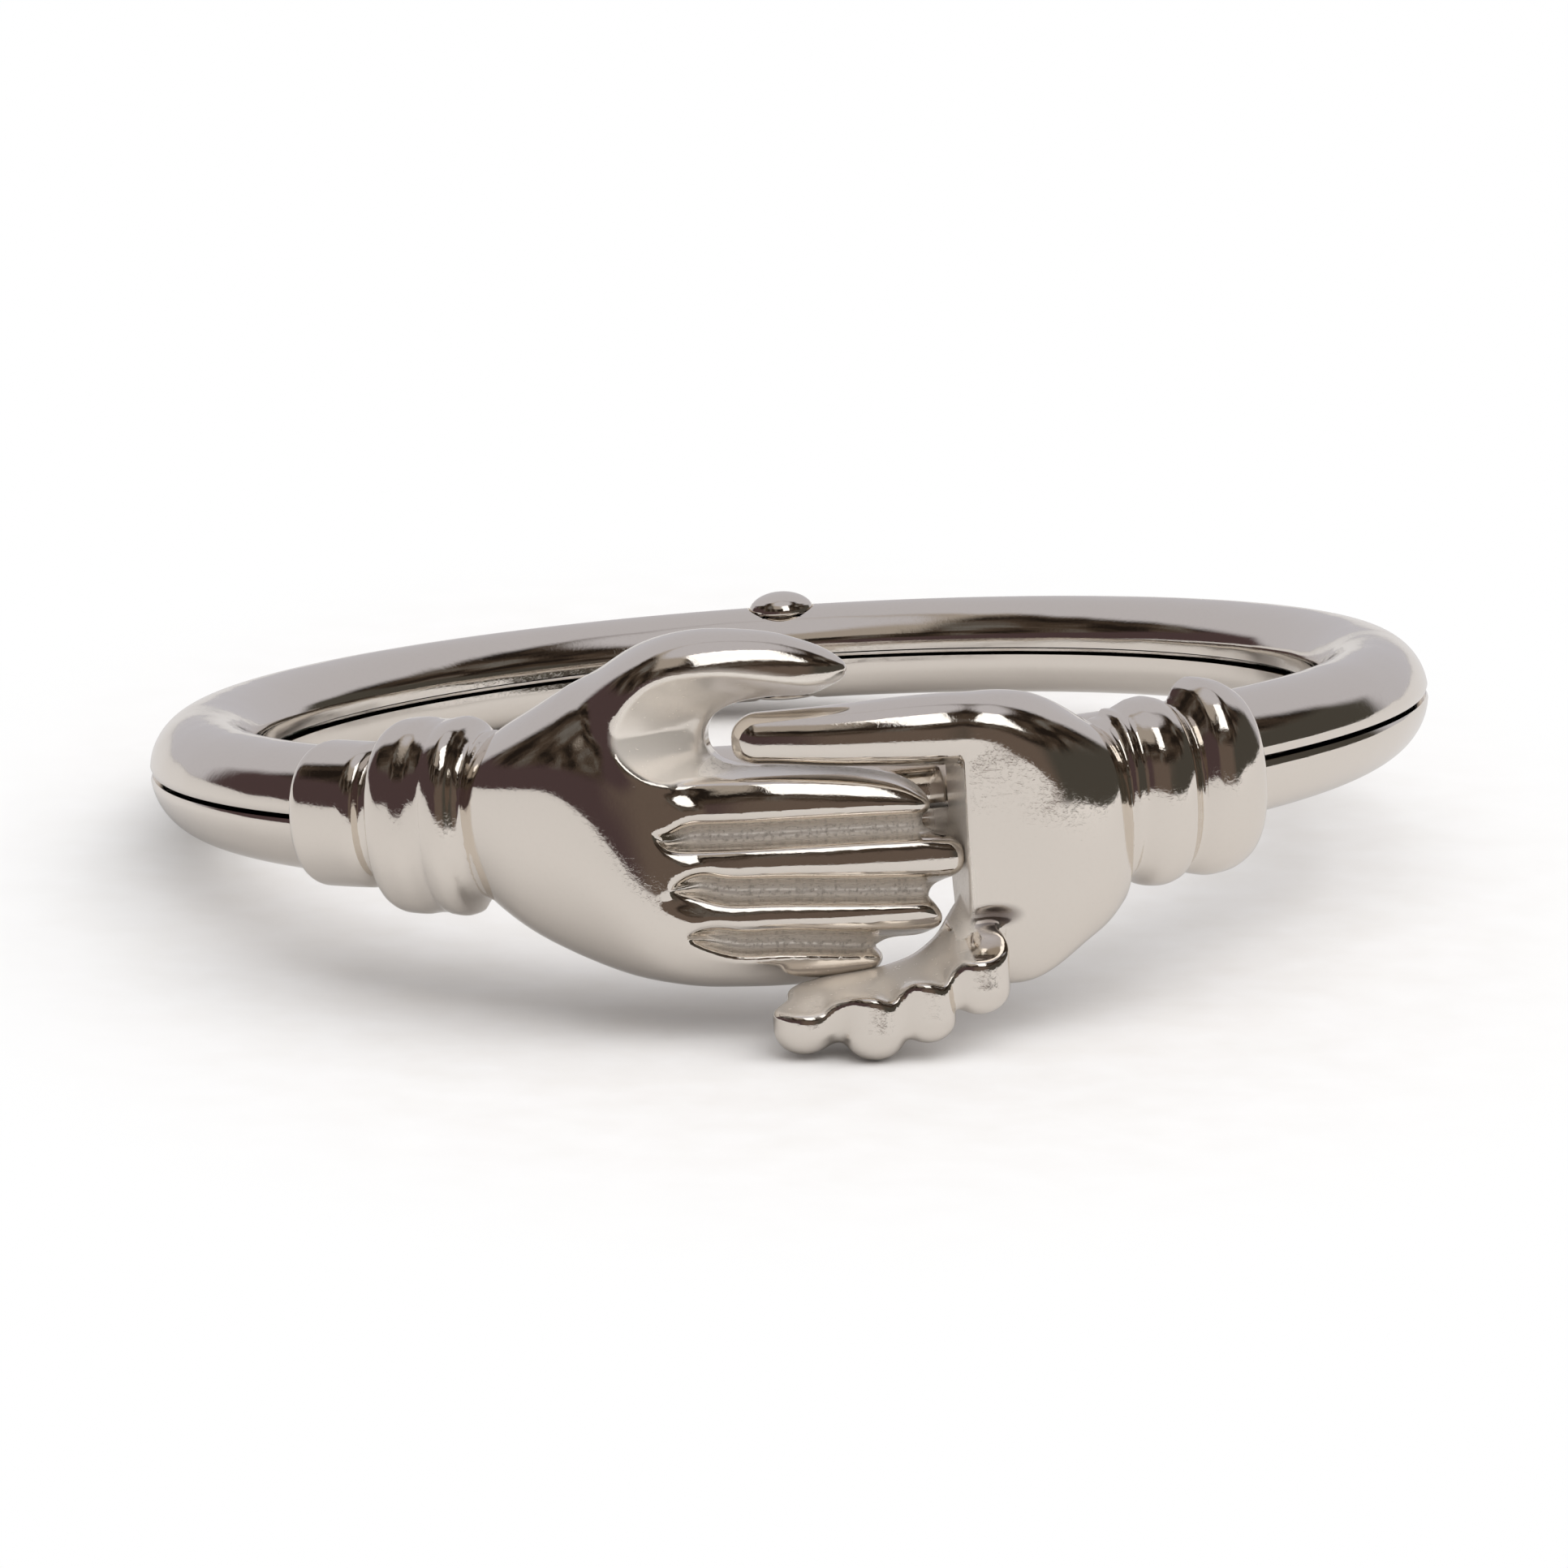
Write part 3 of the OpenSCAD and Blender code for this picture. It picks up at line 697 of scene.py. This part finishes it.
# A hoop, swept round: half of a round wire with a bore flat and a seam flat,
# thinner towards the rivet.
def hoopTree(values):
    tree, mesh, known = startTree("halfRoundHoop", values)
    leastShare = 0.05  # of a ray that counts as going towards a flat
    # A ray from the middle of the section meets the wire's round, the seam
    # flat and the bore flat; the nearest of the three is the surface.
    addFormulas(tree, known, [
        ("across", "MULTIPLY", "gridX", fullTurn),
        ("turn", "MULTIPLY", "gridY", fullTurn),
        ("cosAcross", "COSINE", "across"),
        ("sinAcross", "SINE", "across"),
        ("cosTurn", "COSINE", "turn"),
        ("sinTurn", "SINE", "turn"),
        ("rise", "MULTIPLY", "Taper Rise", "cosTurn"),
        ("offset", "SUBTRACT", "Middle Height", "rise"),
        ("sideways", "MULTIPLY", "offset", "cosAcross"),
        ("sideways", "POWER", "sideways", 2.0),
        ("rest", "POWER", "Wire Radius", 2.0),
        ("rest", "SUBTRACT", "rest", "sideways"),
        ("rest", "SQRT", "rest"),
        ("nearer", "MULTIPLY", "offset", "sinAcross"),
        ("toRound", "SUBTRACT", "rest", "nearer"),
        ("down", "MULTIPLY", "sinAcross", -1.0),
        ("down", "MAXIMUM", "down", leastShare),
        ("depth", "SUBTRACT", "Middle Height", "Half Seam"),
        ("toSeam", "DIVIDE", "depth", "down"),
        ("inward", "MULTIPLY", "cosAcross", -1.0),
        ("inward", "MAXIMUM", "inward", leastShare),
        ("wall", "SUBTRACT", "Ring Radius", "Bore Radius"),
        ("toBore", "DIVIDE", "wall", "inward"),
        ("ray", "SMOOTH_MIN", "toRound", "toSeam", "Seam Rounding"),
        ("ray", "SMOOTH_MIN", "ray", "toBore", "Bore Rounding"),
        ("radius", "MULTIPLY_ADD", "ray", "cosAcross", "Ring Radius"),
        ("z", "MULTIPLY_ADD", "ray", "sinAcross", "Middle Height"),
        ("x", "MULTIPLY", "radius", "sinTurn"),
        ("y", "MULTIPLY", "radius", "cosTurn"),
        ("y", "MULTIPLY", "y", -1.0),
        ("spot", "PLACE", "x", "y", "z"),
    ])
    swept = addNode(tree, "GeometryNodeSetPosition", {"Geometry": mesh, "Position": known["spot"]})[0]
    closed = addNode(tree, "GeometryNodeMergeByDistance", {"Geometry": swept, "Distance": mergeReach})[0]
    return endTree(tree, closed, known["Material"])


# Half the rivet, from the middle of its shank to the top of its head: share of
# the way along, of the head's radius and of the height.
def rivetOutline():
    shank = rivet["shankRadius"] / rivet["headRadius"]
    seat = (seatHeight + rivet["play"]) / (seatHeight + rivet["play"] + rivet["headHeight"])
    rimRise, rimWidth = 0.08, 0.97
    rim = seat + rimRise * (1 - seat)
    shankEnd, rimStart, domeStart = 0.28, 0.36, 0.42
    outline = [(0.0, shank, 0.0), (shankEnd, shank, seat), (rimStart, rimWidth, seat)]
    for degrees in range(0, 91, 9):
        angle = math.radians(degrees)
        along = domeStart + (1 - domeStart) * degrees / 90
        outline.append((along, math.cos(angle), rim + (1 - rim) * math.sin(angle)))
    return outline


# Two hammered heads on one shank.
def rivetTree(values):
    tree, mesh, known = startTree("hammeredRivet", values)
    outline = rivetOutline()
    for part, name in ((1, "wide"), (2, "high")):
        curve = tree.nodes.new("ShaderNodeFloatCurve")
        line = curve.mapping.curves[0]
        line.points[0].location = (outline[0][0], outline[0][part])
        line.points[1].location = (outline[-1][0], outline[-1][part])
        for row in outline[1:-1]:
            line.points.new(row[0], row[part])
        for point in line.points:
            point.handle_type = "VECTOR"
        curve.mapping.update()
        tree.links.new(known["gridX"], curve.inputs["Value"])
        known[name] = curve.outputs[0]
    known["index"] = addNode(tree, "GeometryNodeInputIndex")[0]
    addFormulas(tree, known, [
        ("turn", "MULTIPLY", "gridY", fullTurn),
        ("cosTurn", "COSINE", "turn"),
        ("sinTurn", "SINE", "turn"),
        ("radius", "MULTIPLY", "wide", "Head Radius"),
        ("z", "MULTIPLY", "high", "Half Height"),
        ("x", "MULTIPLY", "radius", "cosTurn"),
        ("y", "MULTIPLY", "radius", "sinTurn"),
        ("spot", "PLACE", "x", "y", "z"),
        ("flip", "MULTIPLY", "index", math.pi),
        ("tilt", "PLACE", "flip"),
    ])
    half = addNode(tree, "GeometryNodeSetPosition", {"Geometry": mesh, "Position": known["spot"]})[0]
    ends = addNode(tree, "GeometryNodeMeshLine", {"Count": 2, "Offset": (0.0, 0.0, 0.0)})[0]
    pair = addNode(tree, "GeometryNodeInstanceOnPoints", {
        "Points": ends, "Instance": half, "Rotation": known["tilt"]})[0]
    real = addNode(tree, "GeometryNodeRealizeInstances", {"Geometry": pair})[0]
    closed = addNode(tree, "GeometryNodeMergeByDistance", {"Geometry": real, "Distance": mergeReach})[0]
    here = addNode(tree, "GeometryNodeInputPosition")[0]
    known["upright"] = addNode(tree, "ShaderNodeSeparateXYZ", {0: here})["Z"]
    shifted = addNode(tree, "ShaderNodeVectorMath", {0: here, 1: known["Seed"]}, {"operation": "ADD"})[0]
    known["blows"] = addNode(tree, "ShaderNodeTexNoise", {
        "Vector": shifted, "Scale": known["Hammer Size"], "Detail": 0.0})[0]
    addFormulas(tree, known, [
        ("above", "ABSOLUTE", "upright"),
        ("onHead", "GREATER_THAN", "above", "Seat Height"),
        ("depth", "SUBTRACT", "blows", rivet["hammerLevel"]),
        ("depth", "MULTIPLY", "depth", "Hammer Depth"),
        ("depth", "MULTIPLY", "depth", "onHead"),
        # The lower head is beaten flatter.
        ("seat", "MULTIPLY", "Seat Height", -1.0),
        ("lift", "MULTIPLY_ADD", "upright", -1.0, "seat"),
        ("lift", "MAXIMUM", "lift", 0.0),
        ("lift", "MULTIPLY", "lift", "Lower Flattening"),
        ("upward", "PLACE", 0.0, 0.0, "lift"),
    ])
    outward = addNode(tree, "GeometryNodeInputNormal")[0]
    push = addNode(tree, "ShaderNodeVectorMath", {0: outward, "Scale": known["depth"]}, {
        "operation": "SCALE"})[0]
    push = addNode(tree, "ShaderNodeVectorMath", {0: push, 1: known["upward"]}, {"operation": "ADD"})[0]
    beaten = addNode(tree, "GeometryNodeSetPosition", {"Geometry": closed, "Offset": push})[0]
    return endTree(tree, beaten, known["Material"])


def runTree(name, makeTree, values):
    made = addObject(name, bpy.data.meshes.new(name))
    step = made.modifiers.new("shape", "NODES")
    step.node_group = makeTree(values)
    for item in step.node_group.interface.items_tree:
        if item.in_out == "INPUT":
            step[item.identifier] = values[item.name]
    return bake(made)


silverLook = {
    "bright": "#EAE3DA",
    "pitted": "#BDB6AD",
    # Painted shade: the dark brown painted into the cup.
    "paintedCupShade": "#4A3630",
    "roughness": {"polished": 0.055, "unpolished": 0.34, "scratches": 0.10, "pits": 0.12},
    # Count per millimetre, detail and roughness of each kind of mark. Buffing
    # leaves slow waves about 1.5 mm apart, and casting pits are about 0.04 mm
    # wide. Wear scratches are finer than the picture shows, so they are drawn
    # 0.03 mm apart.
    "marks": {
        "waves": (0.7, 1.0, 0.5),
        "scratches": (22.0, 3.0, 0.7),
        "grain": (14.0, 4.0, 0.65),
    },
    # What shows of them, as limits of the noise, and where the pits deepen.
    "shown": {
        "worn": ("scratches", 0.62, 0.75),
        "pits": ("grain", 0.50, 0.36),
        "pitDepth": ("unpolished", 0.75, 1.0, 0.03, 0.8),
    },
    "scratchRun": {"Rotation": (0.4, 0.2, 0.9), "Scale": (0.12, 1.0, 1.0)},
    # How they bump the surface: inwards or not, strength, depth in metres.
    "bumps": {
        "waves": (False, 0.10, 0.0003),
        "worn": (True, 0.035, 0.00001),
        "pitted": (True, 0.4, 0.00002),
    },
}


# Polished sterling silver: soft, bright and slightly warm, buffed to a mirror
# that fine wear scratches, with pits from the casting left in the hollows.
# The cup above the last curled finger is painted dark, as painted shade.
def sterlingSilver(name):
    material = bpy.data.materials.new(name)
    tree = emptyTree(material)
    spot = addNode(tree, "ShaderNodeTexCoord")["Object"]
    lengthwise = addNode(tree, "ShaderNodeMapping", {"Vector": spot, **silverLook["scratchRun"]})[0]
    known = {state: addNode(tree, "ShaderNodeAttribute", settings={"attribute_name": state})["Fac"]
             for state in finishStates}
    for mark, (count, detail, roughness) in silverLook["marks"].items():
        known[mark] = addNode(tree, "ShaderNodeTexNoise", {
            "Vector": lengthwise if mark == "scratches" else spot,
            "Scale": count * perMillimetre, "Detail": detail, "Roughness": roughness})[0]
    rough = silverLook["roughness"]
    addFormulas(tree, known, [
        *((name, "RAMP", *limits) for name, limits in silverLook["shown"].items()),
        ("pitted", "MULTIPLY", "pits", "pitDepth"),
        ("rough", "RAMP", "unpolished", 0.0, 1.0, rough["polished"], rough["unpolished"]),
        ("rough", "MULTIPLY_ADD", "worn", rough["scratches"], "rough"),
        ("rough", "MULTIPLY_ADD", "pitted", rough["pits"], "rough"),
        ("tone", "BLEND", "pitted", silverLook["bright"], silverLook["pitted"]),
        # Painted shade: the cup is painted dark brown.
        ("tone", "BLEND", "paintedCupShade", "tone", silverLook["paintedCupShade"]),
        # Pickled silver scatters light where it is white with frost.
        ("mirror", "SUBTRACT", 1.0, "frosted"),
    ])
    bumped = {}
    for mark, (inwards, strength, depth) in silverLook["bumps"].items():
        links = {**bumped, "Strength": strength, "Distance": depth, "Height": known[mark]}
        bumped = {"Normal": addNode(tree, "ShaderNodeBump", links, {"invert": inwards})[0]}
    shader = addNode(tree, "ShaderNodeBsdfPrincipled", {
        **bumped, "Base Color": known["tone"], "Metallic": known["mirror"],
        "Roughness": known["rough"]})[0]
    addNode(tree, "ShaderNodeOutputMaterial", {"Surface": shader})
    return material


silver = sterlingSilver("polishedSterlingSilver")


def makeHoop(name, side):
    made = runTree(name, hoopTree, {
        "Ring Radius": hoop["middleRadius"], "Wire Radius": hoop["wireRadius"],
        "Bore Radius": hoop["boreRadius"], "Half Seam": hoop["halfSeam"], "Taper Rise": taperRise,
        "Seam Rounding": hoop["seamRounding"], "Bore Rounding": hoop["boreRounding"],
        "Middle Height": hoop["middleHeight"], "Steps Around": hoop["stepsAround"] + 1,
        "Steps Across": hoop["stepsAcross"] + 1, "Material": silver})
    made.data.transform(Matrix.Diagonal((1, 1, side, 1)))
    if side < 0:
        made.data.flip_normals()
    return made


# What a hoop loses to the rivet: a solid turned about the rivet's axis.
def makeRivetHole(side, steps=64):
    reach = 3  # past both ends of the hoop
    middle = hoop["middleRadius"]
    shank, head = rivet["shankRadius"] + rivet["play"], rivet["headRadius"] + rivet["play"]
    outline = [(shank, -reach), (shank, seatHeight), (head, seatHeight), (head, reach)]
    points, faces = [], []
    for radius, height in outline[::side]:
        for k in range(steps):
            a = fullTurn * k / steps
            points.append((radius * math.cos(a), middle + radius * math.sin(a), side * height))
    for i in range(len(outline) - 1):
        for k in range(steps):
            a, b = i * steps + k, i * steps + (k + 1) % steps
            faces.append((a, b, b + steps, a + steps))
    faces.append(tuple(range(steps - 1, -1, -1)))
    faces.append(tuple(range(len(points) - steps, len(points))))
    mesh = bpy.data.meshes.new("rivetHole")
    mesh.from_pydata(points, [], faces)
    return addObject("rivetHole", mesh)


# Files the finish on the points, and says where the piece belongs.
def finishPiece(made, body, node, finishes):
    mesh = made.data
    points = np.zeros(len(mesh.vertices) * 3)
    mesh.vertices.foreach_get("co", points)
    x, y, z = points.reshape(-1, 3).T
    u, n = np.arctan2(x, -y) * faceRadius, np.hypot(x, y) - faceRadius
    for name in finishStates:
        amount = finishes[name](u, z, n) if name in finishes else np.zeros(len(x))
        layer = mesh.attributes.new(name, "FLOAT", "POINT")
        layer.data.foreach_set("value", amount.astype(np.float32))
    mesh.transform(ringToRow)
    mesh.materials.clear()
    mesh.materials.append(silver)
    mesh.polygons.foreach_set("use_smooth", np.ones(len(mesh.polygons), bool))
    mesh.set_sharp_from_angle(angle=sharpAngle)
    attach(made, body)
    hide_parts(node)
    triangles = sum(len(p.vertices) - 2 for p in mesh.polygons)
    print(made.name, len(mesh.vertices), "points", triangles, "triangles")


leftField, leftFinishes = leftHandField()
leftMesh = meshField("leftHand", leftField, *leftHand["box"], leftHand["step"])
leftPiece = combine(makeHoop("leftHandHoop", 1), addObject("leftHand", leftMesh), "UNION")
leftPiece = combine(leftPiece, makeRivetHole(1), "DIFFERENCE")
finishPiece(leftPiece, "upper_ring", "left_hand_hoop", leftFinishes)
print("left hand and its hoop made")

rightField, rightFinishes = rightHandField()
rightMesh = meshField("rightHand", rightField, *rightHand["box"], rightHand["step"])
rightPiece = combine(makeHoop("rightHandHoop", -1), addObject("rightHand", rightMesh), "UNION")
rightPiece = combine(rightPiece, makeRivetHole(-1), "DIFFERENCE")
finishPiece(rightPiece, "lower_ring", "right_hand_hoop", rightFinishes)
print("right hand and its hoop made")

rivetPiece = runTree("pivotRivet", rivetTree, {
    "Head Radius": rivet["headRadius"], "Half Height": seatHeight + rivet["play"] + rivet["headHeight"],
    "Seat Height": seatHeight + rivet["hammeredFrom"], "Lower Flattening": rivet["lowerFlattening"],
    "Hammer Depth": rivet["hammerDepth"], "Hammer Size": rivet["hammerSize"], "Seed": rivet["seed"],
    "Steps Around": rivet["stepsAround"] + 1, "Steps Across": rivet["stepsAcross"], "Material": silver})
rivetPiece.data.transform(Matrix.Translation((0, hoop["middleRadius"], 0)))
finishPiece(rivetPiece, "lower_ring", "pivot_rivet", {})
print("rivet made")

paper = {
    "half": 1.2,  # metres
    "colour": "#E9E6E3",
    "fibreColour": "#F4F3F3",
    "fibres": 0.9,  # per millimetre
    "roughness": 0.8,
    "mirroredColour": "#D2D0CF",  # the silver mirrors it darker than it shows
    # It fades to plain white away from the ring, as in the picture: reach in
    # metres to the right and to the back, and the shares of it.
    "fadeReach": (0.0132, 0.0200),
    "fadeFrom": 0.62,
    "fadeTo": 1.24,
}


def makeFloor():
    half = paper["half"]
    mesh = bpy.data.meshes.new("floor")
    corners = [(-half, -half, 0), (half, -half, 0), (half, half, 0), (-half, half, 0)]
    mesh.from_pydata(corners, [], [(0, 1, 2, 3)])
    floor = addObject("floor", mesh)
    # Matte white paper: dull and even, with a faint grain of fibres.
    material = bpy.data.materials.new("matteWhitePaper")
    tree = emptyTree(material)
    spot = addNode(tree, "ShaderNodeTexCoord")["Object"]
    part = addNode(tree, "ShaderNodeSeparateXYZ", {0: spot})
    rays = addNode(tree, "ShaderNodeLightPath")
    fibres = addNode(tree, "ShaderNodeTexNoise", {
        "Vector": spot, "Scale": paper["fibres"] * perMillimetre, "Detail": 3.0})[0]
    known = {"x": part["X"], "y": part["Y"], "fibres": fibres,
             "mirrored": rays["Is Glossy Ray"], "seen": rays["Is Camera Ray"]}
    addFormulas(tree, known, [
        ("lit", "BLEND", "fibres", paper["colour"], paper["fibreColour"]),
        ("tone", "BLEND", "mirrored", "lit", paper["mirroredColour"]),
        ("x", "ABSOLUTE", "x"),
        ("x", "DIVIDE", "x", paper["fadeReach"][0]),
        ("x", "POWER", "x", 2.0),
        ("y", "ABSOLUTE", "y"),
        ("y", "DIVIDE", "y", paper["fadeReach"][1]),
        ("y", "POWER", "y", 2.0),
        ("away", "ADD", "x", "y"),
        ("away", "SQRT", "away"),
        ("fade", "FADE", "away", paper["fadeFrom"], paper["fadeTo"]),
        ("fade", "MULTIPLY", "fade", "seen"),
    ])
    matte = addNode(tree, "ShaderNodeBsdfPrincipled", {
        "Base Color": known["tone"], "Roughness": paper["roughness"]})[0]
    glow = addNode(tree, "ShaderNodeEmission", {"Color": (1.0, 1.0, 1.0, 1.0), "Strength": 1.0})[0]
    shader = addNode(tree, "ShaderNodeMixShader", {0: known["fade"], 1: matte, 2: glow})[0]
    addNode(tree, "ShaderNodeOutputMaterial", {"Surface": shader})
    mesh.materials.append(material)


makeFloor()

# Camera: 220 mm from the middle of the finger hole, seen as in the photograph.
camera = {
    "distance": 0.220,
    "elevation": 7.95,  # above the plane of the ring, degrees
    "roll": 3.75,
    "aimRight": -0.144,  # millimetres from the middle of the hole
    "aimUp": -0.944,
    "pixelsPerMillimetre": 73.6,
    "picturePixels": 1932,
    "sensor": 36.0,  # millimetres
    "clip": (0.01, 10),
}


def makeCamera():
    rise = math.radians(camera["elevation"])
    along = turnToRow @ Vector((0, math.cos(rise), -math.sin(rise)))
    upward = turnToRow @ Vector((0, math.sin(rise), math.cos(rise)))
    sideways = turnToRow @ Vector((1, 0, 0))
    aim = holeCentre + (sideways * camera["aimRight"] + upward * camera["aimUp"]) * 0.001
    roll = math.radians(camera["roll"])
    across = sideways * math.cos(roll) - upward * math.sin(roll)
    over = sideways * math.sin(roll) + upward * math.cos(roll)
    data = bpy.data.cameras.new("camera")
    focal = camera["pixelsPerMillimetre"] * camera["distance"] * perMillimetre
    data.sensor_width = camera["sensor"]
    data.lens = focal * camera["sensor"] / camera["picturePixels"]
    data.clip_start, data.clip_end = camera["clip"]
    made = addObject("camera", data)
    made.matrix_world = Matrix.Translation(aim - along * camera["distance"]) @ Matrix(
        (across, over, -along)).transposed().to_4x4()
    bpy.context.scene.camera = made


makeCamera()

# Soft lamps: where each stands and how large it is, in metres.
lamps = {
    "key": {"place": (0.123, -0.321, 0.491), "size": (0.23, 0.34), "power": 0.34, "mirrored": True},
    "window": {"place": (0.42, -0.02, 0.38), "size": (0.45, 0.45), "power": 1.5, "mirrored": False},
    "overhead": {"place": (0.05, -0.38, 0.80), "size": (1.0, 1.0), "power": 2.9, "mirrored": False},
}


def makeLamps():
    for name, lamp in lamps.items():
        data = bpy.data.lights.new(name, "AREA")
        data.shape = "RECTANGLE"
        data.size, data.size_y = lamp["size"]
        data.energy = lamp["power"]
        made = addObject(name, data)
        made.location = lamp["place"]
        made.rotation_euler = (-Vector(lamp["place"])).to_track_quat("-Z", "Y").to_euler()
        made.visible_glossy = lamp["mirrored"]


# The room that the silver mirrors: pale above and behind, dark on the
# viewer's side between the table's edge and the lamp above.
room = {
    "light": 0.70,
    "ceiling": "#E4E2E8",
    "dark": ("#2A231E", "#584B40", "#7C7873"),
    "wall": "#C2B8AD",
    "low": ("#5B4A4B", "#78695F", "#57534C"),  # below eye level, from the left to the right
    "plain": "#F4F3F3",  # what all but the silver is lit from
    "things": {"Scale": 3.5, "Detail": 3.0},
    "patches": {"brown": ("things", 0.38, 0.52), "grey": ("things", 0.52, 0.66)},
    # Near the table's edge the dark side reaches further round to the back.
    "nearEdge": (0.70, 0.25, 0.0, 0.36),
    # Where each part fades in along x, y or z of the direction of a ray.
    "edges": {
        "above": ("z", 0.90, 0.96),
        "behind": ("back", 0.24, 0.38),
        "wallLeft": ("x", -0.50, -0.38),
        "wallRight": ("x", 0.02, -0.08),
        "wallFoot": ("z", 0.66, 0.74),
        "lowMiddle": ("x", -0.28, 0.02),
        "lowRight": ("x", 0.40, 0.75),
        "low": ("z", 0.48, 0.34),
    },
}


def makeRoom():
    world = bpy.data.worlds.new("studio")
    bpy.context.scene.world = world
    tree = emptyTree(world)
    way = addNode(tree, "ShaderNodeTexCoord")["Generated"]
    part = addNode(tree, "ShaderNodeSeparateXYZ", {0: way})
    rays = addNode(tree, "ShaderNodeLightPath")
    things = addNode(tree, "ShaderNodeTexNoise", {"Vector": way, **room["things"]})[0]
    known = {"x": part["X"], "y": part["Y"], "z": part["Z"], "things": things,
             "seen": rays["Is Camera Ray"], "scattered": rays["Is Diffuse Ray"]}
    addFormulas(tree, known, [
        ("nearEdge", "RAMP", "z", *room["nearEdge"]),
        ("back", "SUBTRACT", "y", "nearEdge"),
        *((name, "FADE", *edge) for name, edge in room["edges"].items()),
        ("pale", "MAXIMUM", "above", "behind"),
        *((name, "RAMP", *patch) for name, patch in room["patches"].items()),
        ("darkTone", "BLEND", "brown", room["dark"][0], room["dark"][1]),
        ("darkTone", "BLEND", "grey", "darkTone", room["dark"][2]),
        # A pale wall shows above the dark things, left of the viewer.
        ("wall", "MULTIPLY", "wallLeft", "wallRight"),
        ("wall", "MULTIPLY", "wall", "wallFoot"),
        ("highTone", "BLEND", "wall", "darkTone", room["wall"]),
        ("lowTone", "BLEND", "lowMiddle", room["low"][0], room["low"][1]),
        ("lowTone", "BLEND", "lowRight", "lowTone", room["low"][2]),
        ("tone", "BLEND", "low", "highTone", "lowTone"),
        ("tone", "BLEND", "pale", "tone", room["ceiling"]),
        # Only the silver sees all this.
        ("plain", "MAXIMUM", "seen", "scattered"),
        ("tone", "BLEND", "plain", "tone", room["plain"]),
    ])
    light = addNode(tree, "ShaderNodeBackground", {"Color": known["tone"], "Strength": room["light"]})[0]
    addNode(tree, "ShaderNodeOutputWorld", {"Surface": light})


makeLamps()
makeRoom()
bpy.context.scene.view_settings.view_transform = "Standard"
print("studio made")
